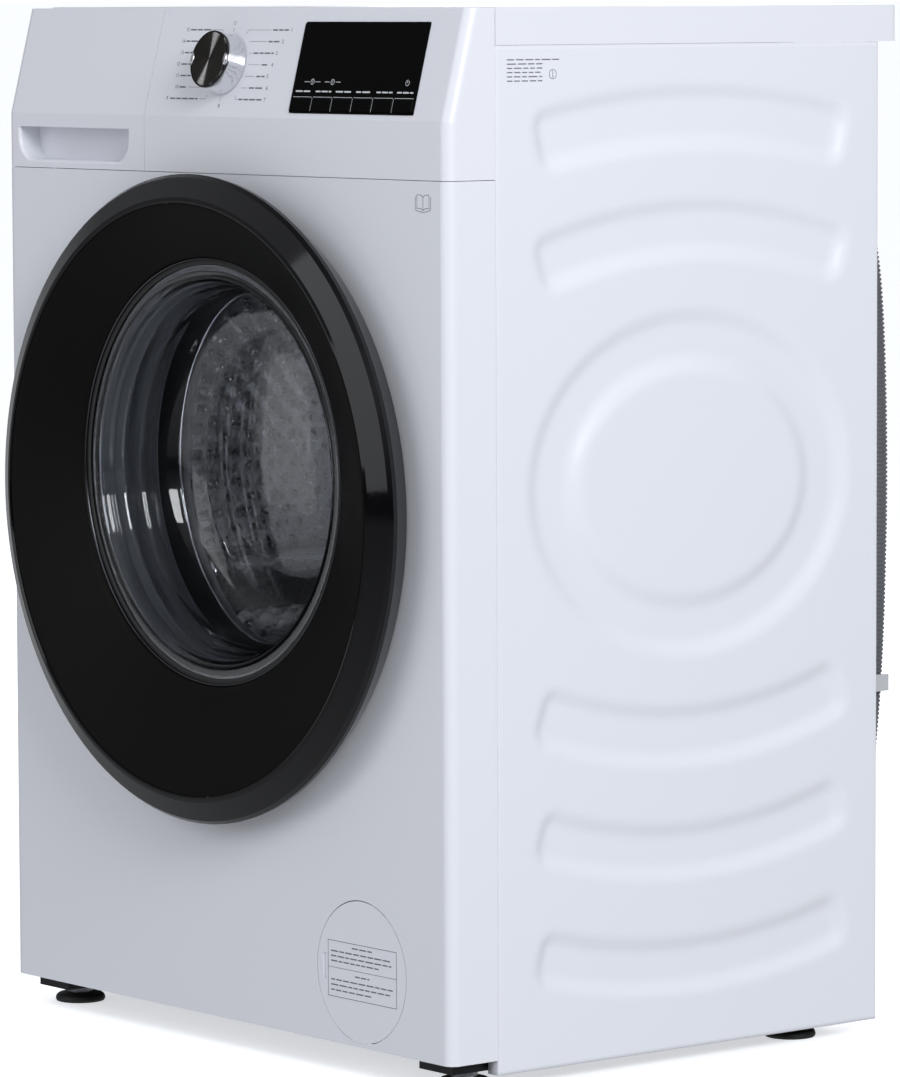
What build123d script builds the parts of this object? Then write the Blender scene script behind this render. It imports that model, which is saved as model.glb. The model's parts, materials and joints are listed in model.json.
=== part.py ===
from build123d import *
import math
import os

# A slim front-loading washing machine, 595 wide, 850 high and 475 deep, with a round door.
# Millimetres. X runs to the right, the front faces -Y, and Z = 0 is the floor under the feet.
# "depth" is the distance behind the front panel's outer face, so the door has negative depths.

# ---- cabinet ----
WIDTH = 595.0
HEIGHT = 850.0
HALF = WIDTH / 2
FRONT_Y = -220.0  # outer face of the front panel
SHEET = 1.0  # painted steel
PLASTIC = 2.5
SEAM = 0.5  # running gap between outer panels
CORNER_R = 9.0
CHEEK = 47.5  # how far the front and the fascia wrap round the sides
SIDE_BACK = 453.6
SIDE_LOW, SIDE_TOP = 11.8, 819.8
FRONT_LOW, FRONT_TOP = 24.0, 715.3
WORKTOP_BACK = 475.0
REAR_FACE = 451.2
FLANGE = 15.0

# ---- fascia: upright below the bend, leaning back above it ----
BEND_Z = 761.5
BEND_R = 45.0
LEAN_BACK = 22.8
FASCIA_TOP = 849.0
LEAN = math.atan2(LEAN_BACK, FASCIA_TOP - BEND_Z)
DRAWER_SEAM_X = -100.0
KNOB_UP = 43.5  # knob centre, measured up the slope from the bend
KNOB_R = 25.5
KNOB_TALL = 20.0
DISPLAY_LEFT, DISPLAY_RIGHT = 95.0, 254.0
DISPLAY_LOW, DISPLAY_HIGH = 4.5, 79.0
KEYS = 6
KEY_LOW, KEY_HIGH = 6.0, 16.5
KEY_GAP = 1.6
KEY_TALL = 1.4  # how far the keys stand out

# ---- door ----
DOOR_Z = 452.0
FACE_R = 240.6
WINDOW_R = 174.2
WINDOW_Z = 473.4
HINGE_X, HINGE_DEPTH = -242.0, -24.0
PIN_R = 4.0
RUN = 0.06  # radial running clearance of pins in their holes
EAR_LOW, EAR_HIGH = 30.0, 38.0
HOOK_X, HOOK_DEPTH = 206.0, -12.0

# ---- drum and tub, about one front-to-back axis ----
DRUM_Z = WINDOW_Z
OPENING_R = 168.0
DRUM_R = 236.0
TUB_R = 250.0
TUB_WALL = 8.0
SHAFT_R = 10.0
BEARING_R = 23.5
MOTOR_X, MOTOR_Z, MOTOR_R = 110.0, 150.0, 62.0
PULLEY_R, MOTOR_PULLEY_R = 140.0, 10.0
BELT_GAP, BELT_THICK = 0.3, 3.5
BELT_DEPTH = (410.0, 422.0)
STRUT_X = 215.0  # springs and dampers stand this far each side of the drum axis
SPRING_DEPTH, DAMPER_DEPTH = 280.0, 250.0

# ---- service side ----
FILTER_X, FILTER_Z = 184.3, 84.9
COVER_R = 56.9
FLAP_HINGE_X = FILTER_X + 49.0
VALVE_X, VALVE_Z = -250.0, 790.0
THREAD_R = 13.2
GLAND_X, GLAND_Z = -150.0, 150.0
CAP_PLACES = ((-140, 640), (140, 640), (-140, 300), (140, 300))
HOSE_R = 12.0
HOSE_DEPTH = 468.0
FOOT_STEM_R, FOOT_STEM_TOP = 5.0, 62.0
FOOT_X, FOOT_DEPTHS = 262, {"front": 42, "rear": 389}
FEET = {f"{row}_{side}": (sign * FOOT_X, depth) for row, depth in FOOT_DEPTHS.items()
        for side, sign in (("left", -1), ("right", 1))}

os.makedirs("parts", exist_ok=True)


def behind(depth):
    """A plane parallel to the front panel, looking out of the front: local (x, z)."""
    return Plane(origin=(0, FRONT_Y + depth, 0), x_dir=(1, 0, 0), z_dir=(0, -1, 0))


def across(x):
    """A plane square to X: local (depth, z)."""
    return Plane(origin=(x, FRONT_Y, 0), x_dir=(0, 1, 0), z_dir=(1, 0, 0))


def level(z):
    """A horizontal plane: local (x, depth)."""
    return Plane(origin=(0, FRONT_Y, z), x_dir=(1, 0, 0), z_dir=(0, 0, 1))


def slope(height=0.0):
    """A plane on the leaning fascia, raised by height: local (x, distance up from the bend)."""
    out = (0, -math.cos(LEAN), math.sin(LEAN))
    return Plane(origin=(0, FRONT_Y + height * out[1], BEND_Z + height * out[2]), x_dir=(1, 0, 0), z_dir=out)


def block(x, depth, z, mode=Mode.ADD):
    """A box in the part in hand, between the two values given for each direction."""
    with Locations(((x[0] + x[1]) / 2, FRONT_Y + (depth[0] + depth[1]) / 2, (z[0] + z[1]) / 2)):
        Box(x[1] - x[0], depth[1] - depth[0], z[1] - z[0], mode=mode)


def bar(radius, x, z, depth, mode=Mode.ADD):
    """A front-to-back cylinder between two depths."""
    with Locations((x, FRONT_Y + (depth[0] + depth[1]) / 2, z)):
        Cylinder(radius, depth[1] - depth[0], rotation=(90, 0, 0), mode=mode)


def post(radius, x, depth, z, mode=Mode.ADD):
    """An upright cylinder between two heights."""
    with Locations((x, FRONT_Y + depth, (z[0] + z[1]) / 2)):
        Cylinder(radius, z[1] - z[0], mode=mode)


def turn(outline, x=0.0, z=DRUM_Z, mode=Mode.ADD):
    """A body turned about a front-to-back axis, from (depth, radius) points."""
    with BuildSketch(Plane(origin=(x, FRONT_Y, z), x_dir=(0, 1, 0), z_dir=(1, 0, 0))) as profile:
        with BuildLine():
            Polyline(*outline, close=True)
        make_face()
    revolve(profile.sketch, axis=Axis((x, 0, z), (0, 1, 0)), mode=mode)


def save(part, name):
    """Labels a finished piece and writes it under its node's name."""
    part.label = name
    export_step(part, f"parts/{name}.step")


# ---- cabinet -------------------------------------------------------------------------------

BEAD_DEPTH = 6.0
BEAD_SLOPE = 12.0
BEAD_ENDS = (84.0, 422.0)  # depths of the beads' two ends
BEAD_MID = sum(BEAD_ENDS) / 2
# Upper beads arch upwards and lower ones sag: middle height, then how much the ends drop.
BEADS = ((761.8, 20.0, 58.5), (672.5, 29.5, 55.0), (265.5, -32.0, 57.0), (172.2, -29.0, 52.5),
         (79.5, -24.0, 53.0))
RING_MID = (250.0, 469.5)
RING_RADII = ((173.8, 143.7), (158.0, 126.0), (130.0, 101.0), (113.5, 85.4))


def bead_outline(middle, drop, tall, inset):
    """A curved slot between two parallel arcs, shrunk by inset all round."""
    low, high = BEAD_ENDS[0] + inset, BEAD_ENDS[1] - inset
    half = tall / 2 - inset
    with BuildLine() as outline:
        Line((low, middle - drop - half), (low, middle - drop + half))
        ThreePointArc((low, middle - drop + half), (BEAD_MID, middle + half), (high, middle - drop + half))
        Line((high, middle - drop + half), (high, middle - drop - half))
        ThreePointArc((high, middle - drop - half), (BEAD_MID, middle - half), (low, middle - drop - half))
    make_face(outline.edges())


def beaded(x, inset, mode):
    """All five beads pressed inwards from the plane at x, as bodies with sloping sides."""
    inward = -1 if x > 0 else 1
    for middle, drop, tall in BEADS:
        with BuildSketch(across(x)) as mouth:
            bead_outline(middle, drop, tall, inset)
        with BuildSketch(across(x + inward * BEAD_DEPTH)) as floor:
            bead_outline(middle, drop, tall, inset + BEAD_SLOPE)
        loft([mouth.sketch, floor.sketch], ruled=True, mode=mode)


def dish(x, wide, narrow, mode):
    """An oval frustum from the plane at x inwards by the beads' depth."""
    inward = -1 if x > 0 else 1
    with BuildSketch(across(x)) as mouth:
        with Locations(RING_MID):
            Ellipse(*wide)
    with BuildSketch(across(x + inward * BEAD_DEPTH)) as floor:
        with Locations(RING_MID):
            Ellipse(*narrow)
    loft([mouth.sketch, floor.sketch], ruled=True, mode=mode)


def side_panel(side):
    """A pressed side sheet: five curved beads and an oval ring, with flanges front and back."""
    outer, inner = side * HALF, side * (HALF - SHEET)
    sheet_x = (min(outer, inner), max(outer, inner))
    flange_x = (min(outer, side * (HALF - FLANGE)), max(outer, side * (HALF - FLANGE)))
    with BuildPart() as panel:
        block(sheet_x, (CHEEK + SEAM, SIDE_BACK), (SIDE_LOW, SIDE_TOP))
        block(flange_x, (CHEEK + SEAM, CHEEK + SEAM + SHEET), (SIDE_LOW, SIDE_TOP))
        block(flange_x, (SIDE_BACK - SHEET, SIDE_BACK), (SIDE_LOW, SIDE_TOP))
        beaded(inner, -SHEET / 2, Mode.ADD)
        dish(inner, RING_RADII[0], RING_RADII[1], Mode.ADD)
        beaded(outer, 0, Mode.SUBTRACT)
        dish(outer, RING_RADII[0], RING_RADII[1], Mode.SUBTRACT)
        # The middle of the ring rises back to the panel's own face.
        dish(outer, RING_RADII[3], RING_RADII[2], Mode.ADD)
        dish(inner, RING_RADII[3], RING_RADII[2], Mode.SUBTRACT)
    return panel.part


def front_panel():
    """The front sheet with its side returns, the collared door opening, and three cut-outs."""
    with BuildPart() as panel:
        block((-HALF, HALF), (0, CHEEK), (FRONT_LOW, FRONT_TOP))
        corners = panel.edges().filter_by(Axis.Z).group_by(Axis.Y)[0]
        fillet(corners, radius=CORNER_R)
        faces = panel.faces()
        offset(amount=-SHEET, openings=[faces.sort_by(Axis.Y)[-1], *faces.filter_by(Axis.Z)])
        bar(OPENING_R, 0, DRUM_Z, (0, 10))
        bar(OPENING_R - SHEET, 0, DRUM_Z, (-1, 11), Mode.SUBTRACT)
        bar(COVER_R + 0.8, FILTER_X, FILTER_Z, (-1, 2), Mode.SUBTRACT)
        block((199, 217), (-1, 2), (WINDOW_Z - 11, WINDOW_Z + 11), Mode.SUBTRACT)
    return panel.part


def rear_panel():
    """The back sheet, with its service opening and the holes for valve, gland and hose."""
    with BuildPart() as panel:
        block((-HALF + 1.5, HALF - 1.5), (REAR_FACE, REAR_FACE + 1.2), (SIDE_LOW + 4, SIDE_TOP - 1))
        bar(140, 0, DRUM_Z, (REAR_FACE - 1, REAR_FACE + 2), Mode.SUBTRACT)
        bar(THREAD_R + 1, VALVE_X, VALVE_Z, (REAR_FACE - 1, REAR_FACE + 2), Mode.SUBTRACT)
        bar(9, GLAND_X, GLAND_Z, (REAR_FACE - 1, REAR_FACE + 2), Mode.SUBTRACT)
        bar(10.2, 130, 105, (REAR_FACE - 1, REAR_FACE + 2), Mode.SUBTRACT)
        for x, z in CAP_PLACES:
            bar(9, x, z, (REAR_FACE - 1, REAR_FACE + 2), Mode.SUBTRACT)
    return panel.part


def transit_bolt_caps():
    """Four plugs that close the transit-bolt holes once the machine stands in place."""
    with BuildPart() as caps:
        for x, z in CAP_PLACES:
            turn([(446, 0), (446, 8.8), (452.5, 8.8), (452.5, 17), (453.6, 17), (455, 13), (455, 0)], x, z)
    return caps.part


def rear_access_cover():
    """The round pressed cover over the pulley."""
    with BuildPart() as cover:
        turn([(452.5, 0), (452.5, 138), (452.5, 150), (453.5, 150), (454.5, 138), (454.5, 0)])
    return cover.part


def base_frame():
    """The bottom pan: a floor sheet, a raised rim all round, and four corner blocks for the feet."""
    back = REAR_FACE - 1
    with BuildPart() as frame:
        block((-294, 294), (52, back), (14, 34))
        block((-270, 270), (76, back - 24), (10, 40), Mode.SUBTRACT)
        block((-294, 294), (52, back), (18, 19.5))
        for x, depth in FEET.values():
            inner = x - math.copysign(22, x)
            deep = (14, 76) if depth < 100 else (365, 413)
            block(sorted((math.copysign(282, x), inner)), deep, (14, 34))
        for x, depth in FEET.values():
            post(FOOT_STEM_R + RUN, x, depth, (0, FOOT_STEM_TOP), Mode.SUBTRACT)
    return frame.part


def foot(x, depth):
    """A levelling foot: a rubber pad on a threaded stem that screws into the base."""
    with BuildPart() as pad:
        with BuildSketch(Plane(origin=(x, FRONT_Y + depth, 0), x_dir=(1, 0, 0), z_dir=(0, -1, 0))):
            with BuildLine():
                Polyline((0, 0), (20, 0), (21.5, 2), (19, 9), (12, 13.4), (FOOT_STEM_R, 13.4),
                         (FOOT_STEM_R, FOOT_STEM_TOP), (0, FOOT_STEM_TOP), close=True)
            make_face()
        revolve(axis=Axis((x, FRONT_Y + depth, 0), (0, 0, 1)))
    return pad.part


def worktop():
    """The white top: a laminated board in a moulded rim."""
    front, rim = CHEEK + SEAM, 14.0
    with BuildPart() as top:
        block((-HALF, HALF), (front, WORKTOP_BACK), (SIDE_TOP + 0.2, HEIGHT))
        rear_corners = top.edges().filter_by(Axis.Z).group_by(Axis.Y)[-1]
        fillet(rear_corners, radius=7)
        block((-HALF + rim, HALF - rim), (front + 4, REAR_FACE - 4), (SIDE_TOP - 1, HEIGHT - 12),
              Mode.SUBTRACT)
        fillet(top.faces().sort_by(Axis.Z)[-1].edges(), radius=1.5)
    return top.part


def top_crossbar():
    """A steel channel across the cabinet that carries the tub's springs."""
    with BuildPart() as crossbar:
        block((-296, 296), (262, 298), (796, 818))
        block((-297, 297), (264, 296), (798, 820), Mode.SUBTRACT)
    return crossbar.part


# ---- fascia ----------------------------------------------------------------------------------


def fascia_body(x_from, x_to, rounded, inset=0.0):
    """A solid length of the fascia's side profile with one upright corner rounded, shrunk by inset."""
    low, top = FRONT_TOP + SEAM + inset, FASCIA_TOP - inset
    back = CHEEK + inset
    bend = (inset, BEND_Z - inset * math.tan(LEAN / 2))
    brow = ((top - BEND_Z) * math.tan(LEAN) + inset / math.cos(LEAN), top)
    with BuildPart() as body:
        with BuildSketch(across(x_from)):
            with BuildLine():
                Polyline((inset, low), bend, brow, (back, top), (back, low), close=True)
            make_face()
            fillet([v for v in vertices() if abs(v.Z - bend[1]) < 0.01], radius=BEND_R - inset)
        extrude(amount=x_to - x_from)
        edge_x = x_to if rounded > 0 else x_from
        corner = [e for e in body.edges() if on_front_corner(e, edge_x)]
        fillet(corner, radius=CORNER_R - inset)
    return body.part


def on_front_corner(edge, x):
    """True for the three edges that run up the fascia's front at the given x."""
    middle = edge.position_at(0.5)
    low, high = edge.position_at(0).Z, edge.position_at(1).Z
    return abs(middle.X - x) < 0.01 and abs(high - low) > 5 and middle.Y < FRONT_Y + CHEEK - 5


def control_panel():
    """The fascia to the right of the drawer, with its display recess and a backing plate."""
    left = DRAWER_SEAM_X + SEAM / 2
    outside = fascia_body(left, HALF, rounded=1)
    inside = fascia_body(left + PLASTIC, HALF - PLASTIC, rounded=1, inset=PLASTIC)
    with BuildPart() as panel:
        add(outside)
        add(inside, mode=Mode.SUBTRACT)
        # Backing plate round the drawer's mouth, joined to the fascia by a web.
        block((-HALF + 1.5, left + PLASTIC), (CHEEK + 1.9, CHEEK + 3.9), (728, SIDE_TOP - 0.5))
        block((-281, -107), (CHEEK, CHEEK + 5), (741, 830), Mode.SUBTRACT)
        block((left, left + PLASTIC), (CHEEK - 4, CHEEK + 3.9), (FRONT_TOP + 2, SIDE_TOP - 0.5))
        middle = ((DISPLAY_LEFT + DISPLAY_RIGHT) / 2, (DISPLAY_LOW + DISPLAY_HIGH) / 2)
        with BuildSketch(slope(2)) as recess:
            with Locations(middle):
                Rectangle(DISPLAY_RIGHT - DISPLAY_LEFT + 0.4, DISPLAY_HIGH - DISPLAY_LOW + 0.4)
        extrude(recess.sketch, amount=-3.2, mode=Mode.SUBTRACT)
        with BuildSketch(slope(2)) as key_slot:
            with Locations(((DISPLAY_LEFT + DISPLAY_RIGHT) / 2, (KEY_LOW + KEY_HIGH) / 2)):
                Rectangle(KEYS * KEY_PITCH, KEY_HIGH - KEY_LOW + 1.2)
        extrude(key_slot.sketch, amount=-8, mode=Mode.SUBTRACT)
        with BuildSketch(slope(2)) as shaft_hole:
            with Locations((0, KNOB_UP)):
                Circle(4 + RUN)
        extrude(shaft_hole.sketch, amount=-8, mode=Mode.SUBTRACT)
    return panel.part


KEY_PITCH = (DISPLAY_RIGHT - DISPLAY_LEFT - 3) / KEYS
KEY_WIDE = KEY_PITCH - KEY_GAP


def key_middles():
    """Middle of each key along X."""
    start = DISPLAY_LEFT + 1.5 + KEY_PITCH / 2
    return [start + number * KEY_PITCH for number in range(KEYS)]


def display_window():
    """The black display plate, slightly proud of the fascia, slotted for the keys."""
    middle = ((DISPLAY_LEFT + DISPLAY_RIGHT) / 2, (DISPLAY_LOW + DISPLAY_HIGH) / 2)
    with BuildPart() as window:
        with BuildSketch(slope(0.8)):
            with Locations(middle):
                RectangleRounded(DISPLAY_RIGHT - DISPLAY_LEFT, DISPLAY_HIGH - DISPLAY_LOW, 3)
            with Locations(*[(x, (KEY_LOW + KEY_HIGH) / 2) for x in key_middles()]):
                Rectangle(KEY_WIDE + 0.7, KEY_HIGH - KEY_LOW + 0.7, mode=Mode.SUBTRACT)
        extrude(amount=-1.9)
    return window.part


def key(middle):
    """One push key on a short stem, resting a little proud of the fascia."""
    with BuildPart() as cap:
        with BuildSketch(slope(KEY_TALL)):
            with Locations((middle, (KEY_LOW + KEY_HIGH) / 2)):
                RectangleRounded(KEY_WIDE, KEY_HIGH - KEY_LOW, 1)
        extrude(amount=-4)
        with BuildSketch(slope(KEY_TALL - 4)):
            with Locations((middle, (KEY_LOW + KEY_HIGH) / 2)):
                Rectangle(KEY_WIDE - 10, 4)
        extrude(amount=-6)
    return cap.part


def programme_knob():
    """The turning selector: a tapered cap with a finger dish, on a shaft through the fascia."""
    with BuildPart() as knob:
        with BuildSketch(slope(0.5)) as base:
            with Locations((0, KNOB_UP)):
                Circle(KNOB_R)
        with BuildSketch(slope(KNOB_TALL)) as face:
            with Locations((0, KNOB_UP)):
                Circle(KNOB_R - 2)
        loft([base.sketch, face.sketch], ruled=True)
        with BuildSketch(slope(KNOB_TALL)) as dimple:
            with Locations((0, KNOB_UP)):
                Circle(KNOB_R - 4)
        extrude(dimple.sketch, amount=-1, mode=Mode.SUBTRACT)
        with BuildSketch(slope(0.5)) as shaft:
            with Locations((0, KNOB_UP)):
                Circle(4)
        extrude(shaft.sketch, amount=-16)
    return knob.part


# ---- detergent drawer -------------------------------------------------------------------------

GRIP_LEFT, GRIP_RIGHT = -279.0, -123.5
GRIP_TOP, GRIP_LOW = 750.0, 722.5
GRIP_CORNER, GRIP_LIP = 19.0, 2.5
GRIP_DEEP = 20.0


def drawer_front():
    """The left part of the fascia, which pulls out: a shell with a bucket-shaped finger recess."""
    right = DRAWER_SEAM_X - SEAM / 2
    outside = fascia_body(-HALF, right, rounded=-1)
    inside = fascia_body(-HALF + PLASTIC, right - PLASTIC, rounded=-1, inset=PLASTIC)
    with BuildPart() as front:
        add(outside)
        add(inside, mode=Mode.SUBTRACT)
        block((-290, right - 6), (1, GRIP_DEEP + PLASTIC), (FRONT_TOP + 2, GRIP_TOP + PLASTIC))
        block((-290, right - 6), (CHEEK - 3, CHEEK - 0.5), (FRONT_TOP + 2, FASCIA_TOP - 1))
        with BuildSketch(behind(-1)) as grip:
            Polygon((GRIP_LEFT, GRIP_TOP), (GRIP_LEFT, GRIP_LOW),
                    (GRIP_RIGHT, GRIP_LOW), (GRIP_RIGHT, GRIP_TOP), align=None)
            fillet(grip.vertices().group_by(Axis.Y)[0], radius=GRIP_CORNER)
        extrude(grip.sketch, amount=-GRIP_DEEP - 1, mode=Mode.SUBTRACT)
        rims = front.edges().filter_by(Plane.XZ).group_by(Axis.Y)[0]
        lip = [rim for rim in rims if GRIP_LEFT - 1 < rim.center().X < GRIP_RIGHT + 1
               and GRIP_LOW - 1 < rim.center().Z < GRIP_TOP - 5]
        fillet(lip, radius=GRIP_LIP)
    return front.part


TRAY_LEFT, TRAY_RIGHT = -277.0, -111.0
TRAY_LOW, TRAY_TOP = 747.0, 816.0
TRAY_BACK = 240.0


def detergent_tray():
    """The drawer's tray: main wash, prewash and softener compartments."""
    wall = 2.0
    front = CHEEK - 0.5
    with BuildPart() as tray:
        block((TRAY_LEFT, TRAY_RIGHT), (front, TRAY_BACK), (TRAY_LOW, TRAY_TOP))
        dividers = (TRAY_LEFT, TRAY_LEFT + 62, TRAY_LEFT + 112, TRAY_RIGHT)
        for left, right in zip(dividers, dividers[1:]):
            pad = wall if left == TRAY_LEFT else wall / 2
            end = wall if right == TRAY_RIGHT else wall / 2
            block((left + pad, right - end), (front + wall + 2, TRAY_BACK - wall),
                  (TRAY_LOW + wall, TRAY_TOP + 1),
                  Mode.SUBTRACT)
    return tray.part


def dispenser_housing():
    """The fixed box that the tray slides into, with a water cover on top."""
    with BuildPart() as housing:
        block((-283, -105), (CHEEK + 4.5, 254), (744, 835))
        block((-280.5, -107.5), (CHEEK + 4, 251), (746.2, 832), Mode.SUBTRACT)
    return housing.part


# ---- door -------------------------------------------------------------------------------------


def door_outer_ring():
    """The glossy ring: a rounded crown that draws in again towards the panel, slotted for the hinge."""
    crown = [(-39.4, 240.9), (-40, 242.5), (-39.2, 245.5), (-31.2, 261.4), (-28, 264), (-24, 263.6),
             (-4, 250)]
    inside = [(-4, 247), (-23.5, 260.4), (-27.4, 260.6), (-29, 259.2), (-36, 245), (-36.6, 240.9)]
    with BuildPart() as ring:
        turn(crown + inside, z=DOOR_Z)
        for side in (-1, 1):
            ear = sorted((DOOR_Z + side * (EAR_LOW - 1.2), DOOR_Z + side * (EAR_HIGH + 1.2)))
            block((-HALF, -235), (-23, 0), ear, Mode.SUBTRACT)
    return ring.part


def door_face_ring():
    """The matte face, dished from the outer ring down to the window, which sits higher."""
    thick = 3.0
    with BuildPart() as face:
        bar(FACE_R, 0, DOOR_Z, (-39.2, thick - 39.2))
        for shift, mode in ((thick, Mode.ADD), (0.0, Mode.SUBTRACT)):
            with BuildSketch(behind(-39.2 + shift)) as rim:
                with Locations((0, DOOR_Z)):
                    Circle(FACE_R)
            with BuildSketch(behind(-11 + shift)) as throat:
                with Locations((0, WINDOW_Z)):
                    Circle(WINDOW_R)
            loft([rim.sketch, throat.sketch], ruled=True, mode=mode)
        bar(WINDOW_R, 0, WINDOW_Z, (-12, -7), Mode.SUBTRACT)
    return face.part


def door_glass():
    """The glass bowl, with a clamped flange and a rounded bottom."""
    outside = [(-5.7, 181), (-5.7, 160), (4, 157.5), (30, 153), (54, 147.5), (66, 142), (74, 132),
               (79, 118), (82, 90)]
    inside = [(76, 90), (73, 116), (68, 128), (61, 137), (51, 142.5), (30, 148), (0, 153.5), (-7.8, 157),
              (-7.8, 181)]
    with BuildPart() as glass:
        turn(outside + [(84, 0), (78, 0)] + inside)
    return glass.part


def door_back_ring():
    """The frame behind the glass, with cut-outs for the hinge and bosses for the hook's pin."""
    with BuildPart() as ring:
        bar(246, 0, DOOR_Z, (-5.5, -3.5))
        bar(161.5, 0, WINDOW_Z, (-6, -3), Mode.SUBTRACT)
        for side in (-1, 1):
            ear = sorted((DOOR_Z + side * (EAR_LOW - 1.2), DOOR_Z + side * (EAR_HIGH + 1.6)))
            block((-260, -206), (-6, -3), ear, Mode.SUBTRACT)
        block((198, 216), (-6, -3), (WINDOW_Z - 8.4, WINDOW_Z + 8.4), Mode.SUBTRACT)
        for side in (-1, 1):
            boss = sorted((WINDOW_Z + side * 8.4, WINDOW_Z + side * 12))
            block((200.5, 211.5), (HOOK_DEPTH - 4, -3.5), boss)
            post(2.5 + RUN, HOOK_X, HOOK_DEPTH, (boss[0] - 1, boss[1] + 1), Mode.SUBTRACT)
    return ring.part


def door_hinge_bracket():
    """The fixed half of the hinge: a plate on the front panel with two bent ears."""
    with BuildPart() as bracket:
        block((-222, -206), (-2, 0), (DOOR_Z - 42, DOOR_Z + 42))
        for side in (-1, 1):
            low = min(side * EAR_LOW, side * EAR_HIGH)
            with BuildSketch(level(DOOR_Z + low)) as ear:
                with BuildLine():
                    Polyline((HINGE_X, HINGE_DEPTH), (-232, -20), (-216, -14.5), (-214.2, -0.2))
                trace(line_width=7)
            extrude(ear.sketch, amount=EAR_HIGH - EAR_LOW)
            with BuildSketch(level(DOOR_Z + low)) as eye:
                with Locations((HINGE_X, HINGE_DEPTH)):
                    Circle(8)
            extrude(eye.sketch, amount=EAR_HIGH - EAR_LOW)
        post(PIN_R + 0.02, HINGE_X, HINGE_DEPTH, (DOOR_Z - 60, DOOR_Z + 60), Mode.SUBTRACT)
        block((-230, -200), (0, 8), (DOOR_Z - 60, DOOR_Z + 60), Mode.SUBTRACT)
    return bracket.part


def door_hinge_pin():
    """The upright pin through both ears."""
    with BuildPart() as pin:
        post(PIN_R, HINGE_X, HINGE_DEPTH, (DOOR_Z - EAR_HIGH, DOOR_Z + EAR_HIGH))
    return pin.part


def door_hinge_arm():
    """The door's half of the hinge: a barrel on the pin and an arm to the back ring."""
    tall = (DOOR_Z - EAR_LOW + 0.5, DOOR_Z + EAR_LOW - 0.5)
    with BuildPart() as arm:
        post(8, HINGE_X, HINGE_DEPTH, tall)
        block((HINGE_X, -204), (-20, -16), (DOOR_Z - 27, DOOR_Z + 27))
        block((-212, -204), (-20, -5.5), (DOOR_Z - 27, DOOR_Z + 27))
        block((-212, -184), (-8.5, -5.5), (DOOR_Z - 27, DOOR_Z + 27))
        post(PIN_R + RUN, HINGE_X, HINGE_DEPTH, (tall[0] - 1, tall[1] + 1), Mode.SUBTRACT)
    return arm.part


def door_hook():
    """The sprung latch: a thin lever on its own pin, with a hooked tip that enters the lock."""
    with BuildPart() as hook:
        with BuildSketch(level(WINDOW_Z - 7)):
            with BuildLine():
                Polyline((204.4, -16), (207.6, -16), (207.6, 5), (212, 7), (206, 14), (204.4, 14), close=True)
            make_face()
        extrude(amount=14)
        post(2.5, HOOK_X, HOOK_DEPTH, (WINDOW_Z - 11.5, WINDOW_Z + 11.5))
    return hook.part


def door_lock():
    """The electric lock behind the front panel, open towards the hook."""
    with BuildPart() as lock:
        block((190, 228), (1.2, 28), (WINDOW_Z - 34, WINDOW_Z + 40))
        block((199, 217), (0, 20), (WINDOW_Z - 10, WINDOW_Z + 10), Mode.SUBTRACT)
    return lock.part


def door_gasket():
    """The rubber bellows from the front panel's collar to the tub, with a lip for the glass."""
    with BuildPart() as gasket:
        with BuildSketch(Plane(origin=(0, FRONT_Y, DRUM_Z), x_dir=(0, 1, 0), z_dir=(1, 0, 0))):
            with BuildLine():
                Polyline((2.2, 165.3), (13, 165.3), (24, 169), (30, 176), (36, 176), (38, 167), (46, 165),
                         (52, 168), (56, 175.5), (64, 175.5))
            with BuildLine():
                Polyline((13, 165.3), (19, 158))
            trace(line_width=2.4)
        revolve(axis=Axis((0, 0, DRUM_Z), (0, 1, 0)))
    return gasket.part


# ---- tub group --------------------------------------------------------------------------------

TUB_SPLIT = 200.0
TUB_FRONT = 62.0
TUB_BACK = 380.0
SUMP_X = (-75.0, 25.0)
SUMP_DEPTH = 110.0
OUTLET_Z = DRUM_Z - math.sqrt((TUB_R + 6) ** 2 - FILTER_X**2)  # where the tub's wall crosses the outlet
SUMP_LOW = 196.0
HUB_R = 34.0
DRUM_FRONT, DRUM_BACK = 84.0, 352.0


def tub_front():
    """The front half of the plastic tub, round the drum's mouth."""
    outer = TUB_R + TUB_WALL
    with BuildPart() as tub:
        turn([(TUB_FRONT, 178), (TUB_FRONT, outer - 16), (TUB_FRONT + 16, outer), (TUB_SPLIT - 8, outer),
              (TUB_SPLIT - 8, outer + 9), (TUB_SPLIT - 0.2, outer + 9), (TUB_SPLIT - 0.2, TUB_R),
              (TUB_FRONT + 20, TUB_R), (TUB_FRONT + 5, outer - 20), (TUB_FRONT + 5, 178)])
        # The outlet stub that the sump hose is clamped on.
        post(17.5, FILTER_X, SUMP_DEPTH, (256, OUTLET_Z))
        post(14, FILTER_X, SUMP_DEPTH, (250, OUTLET_Z + 20), Mode.SUBTRACT)
    return tub.part


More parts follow.
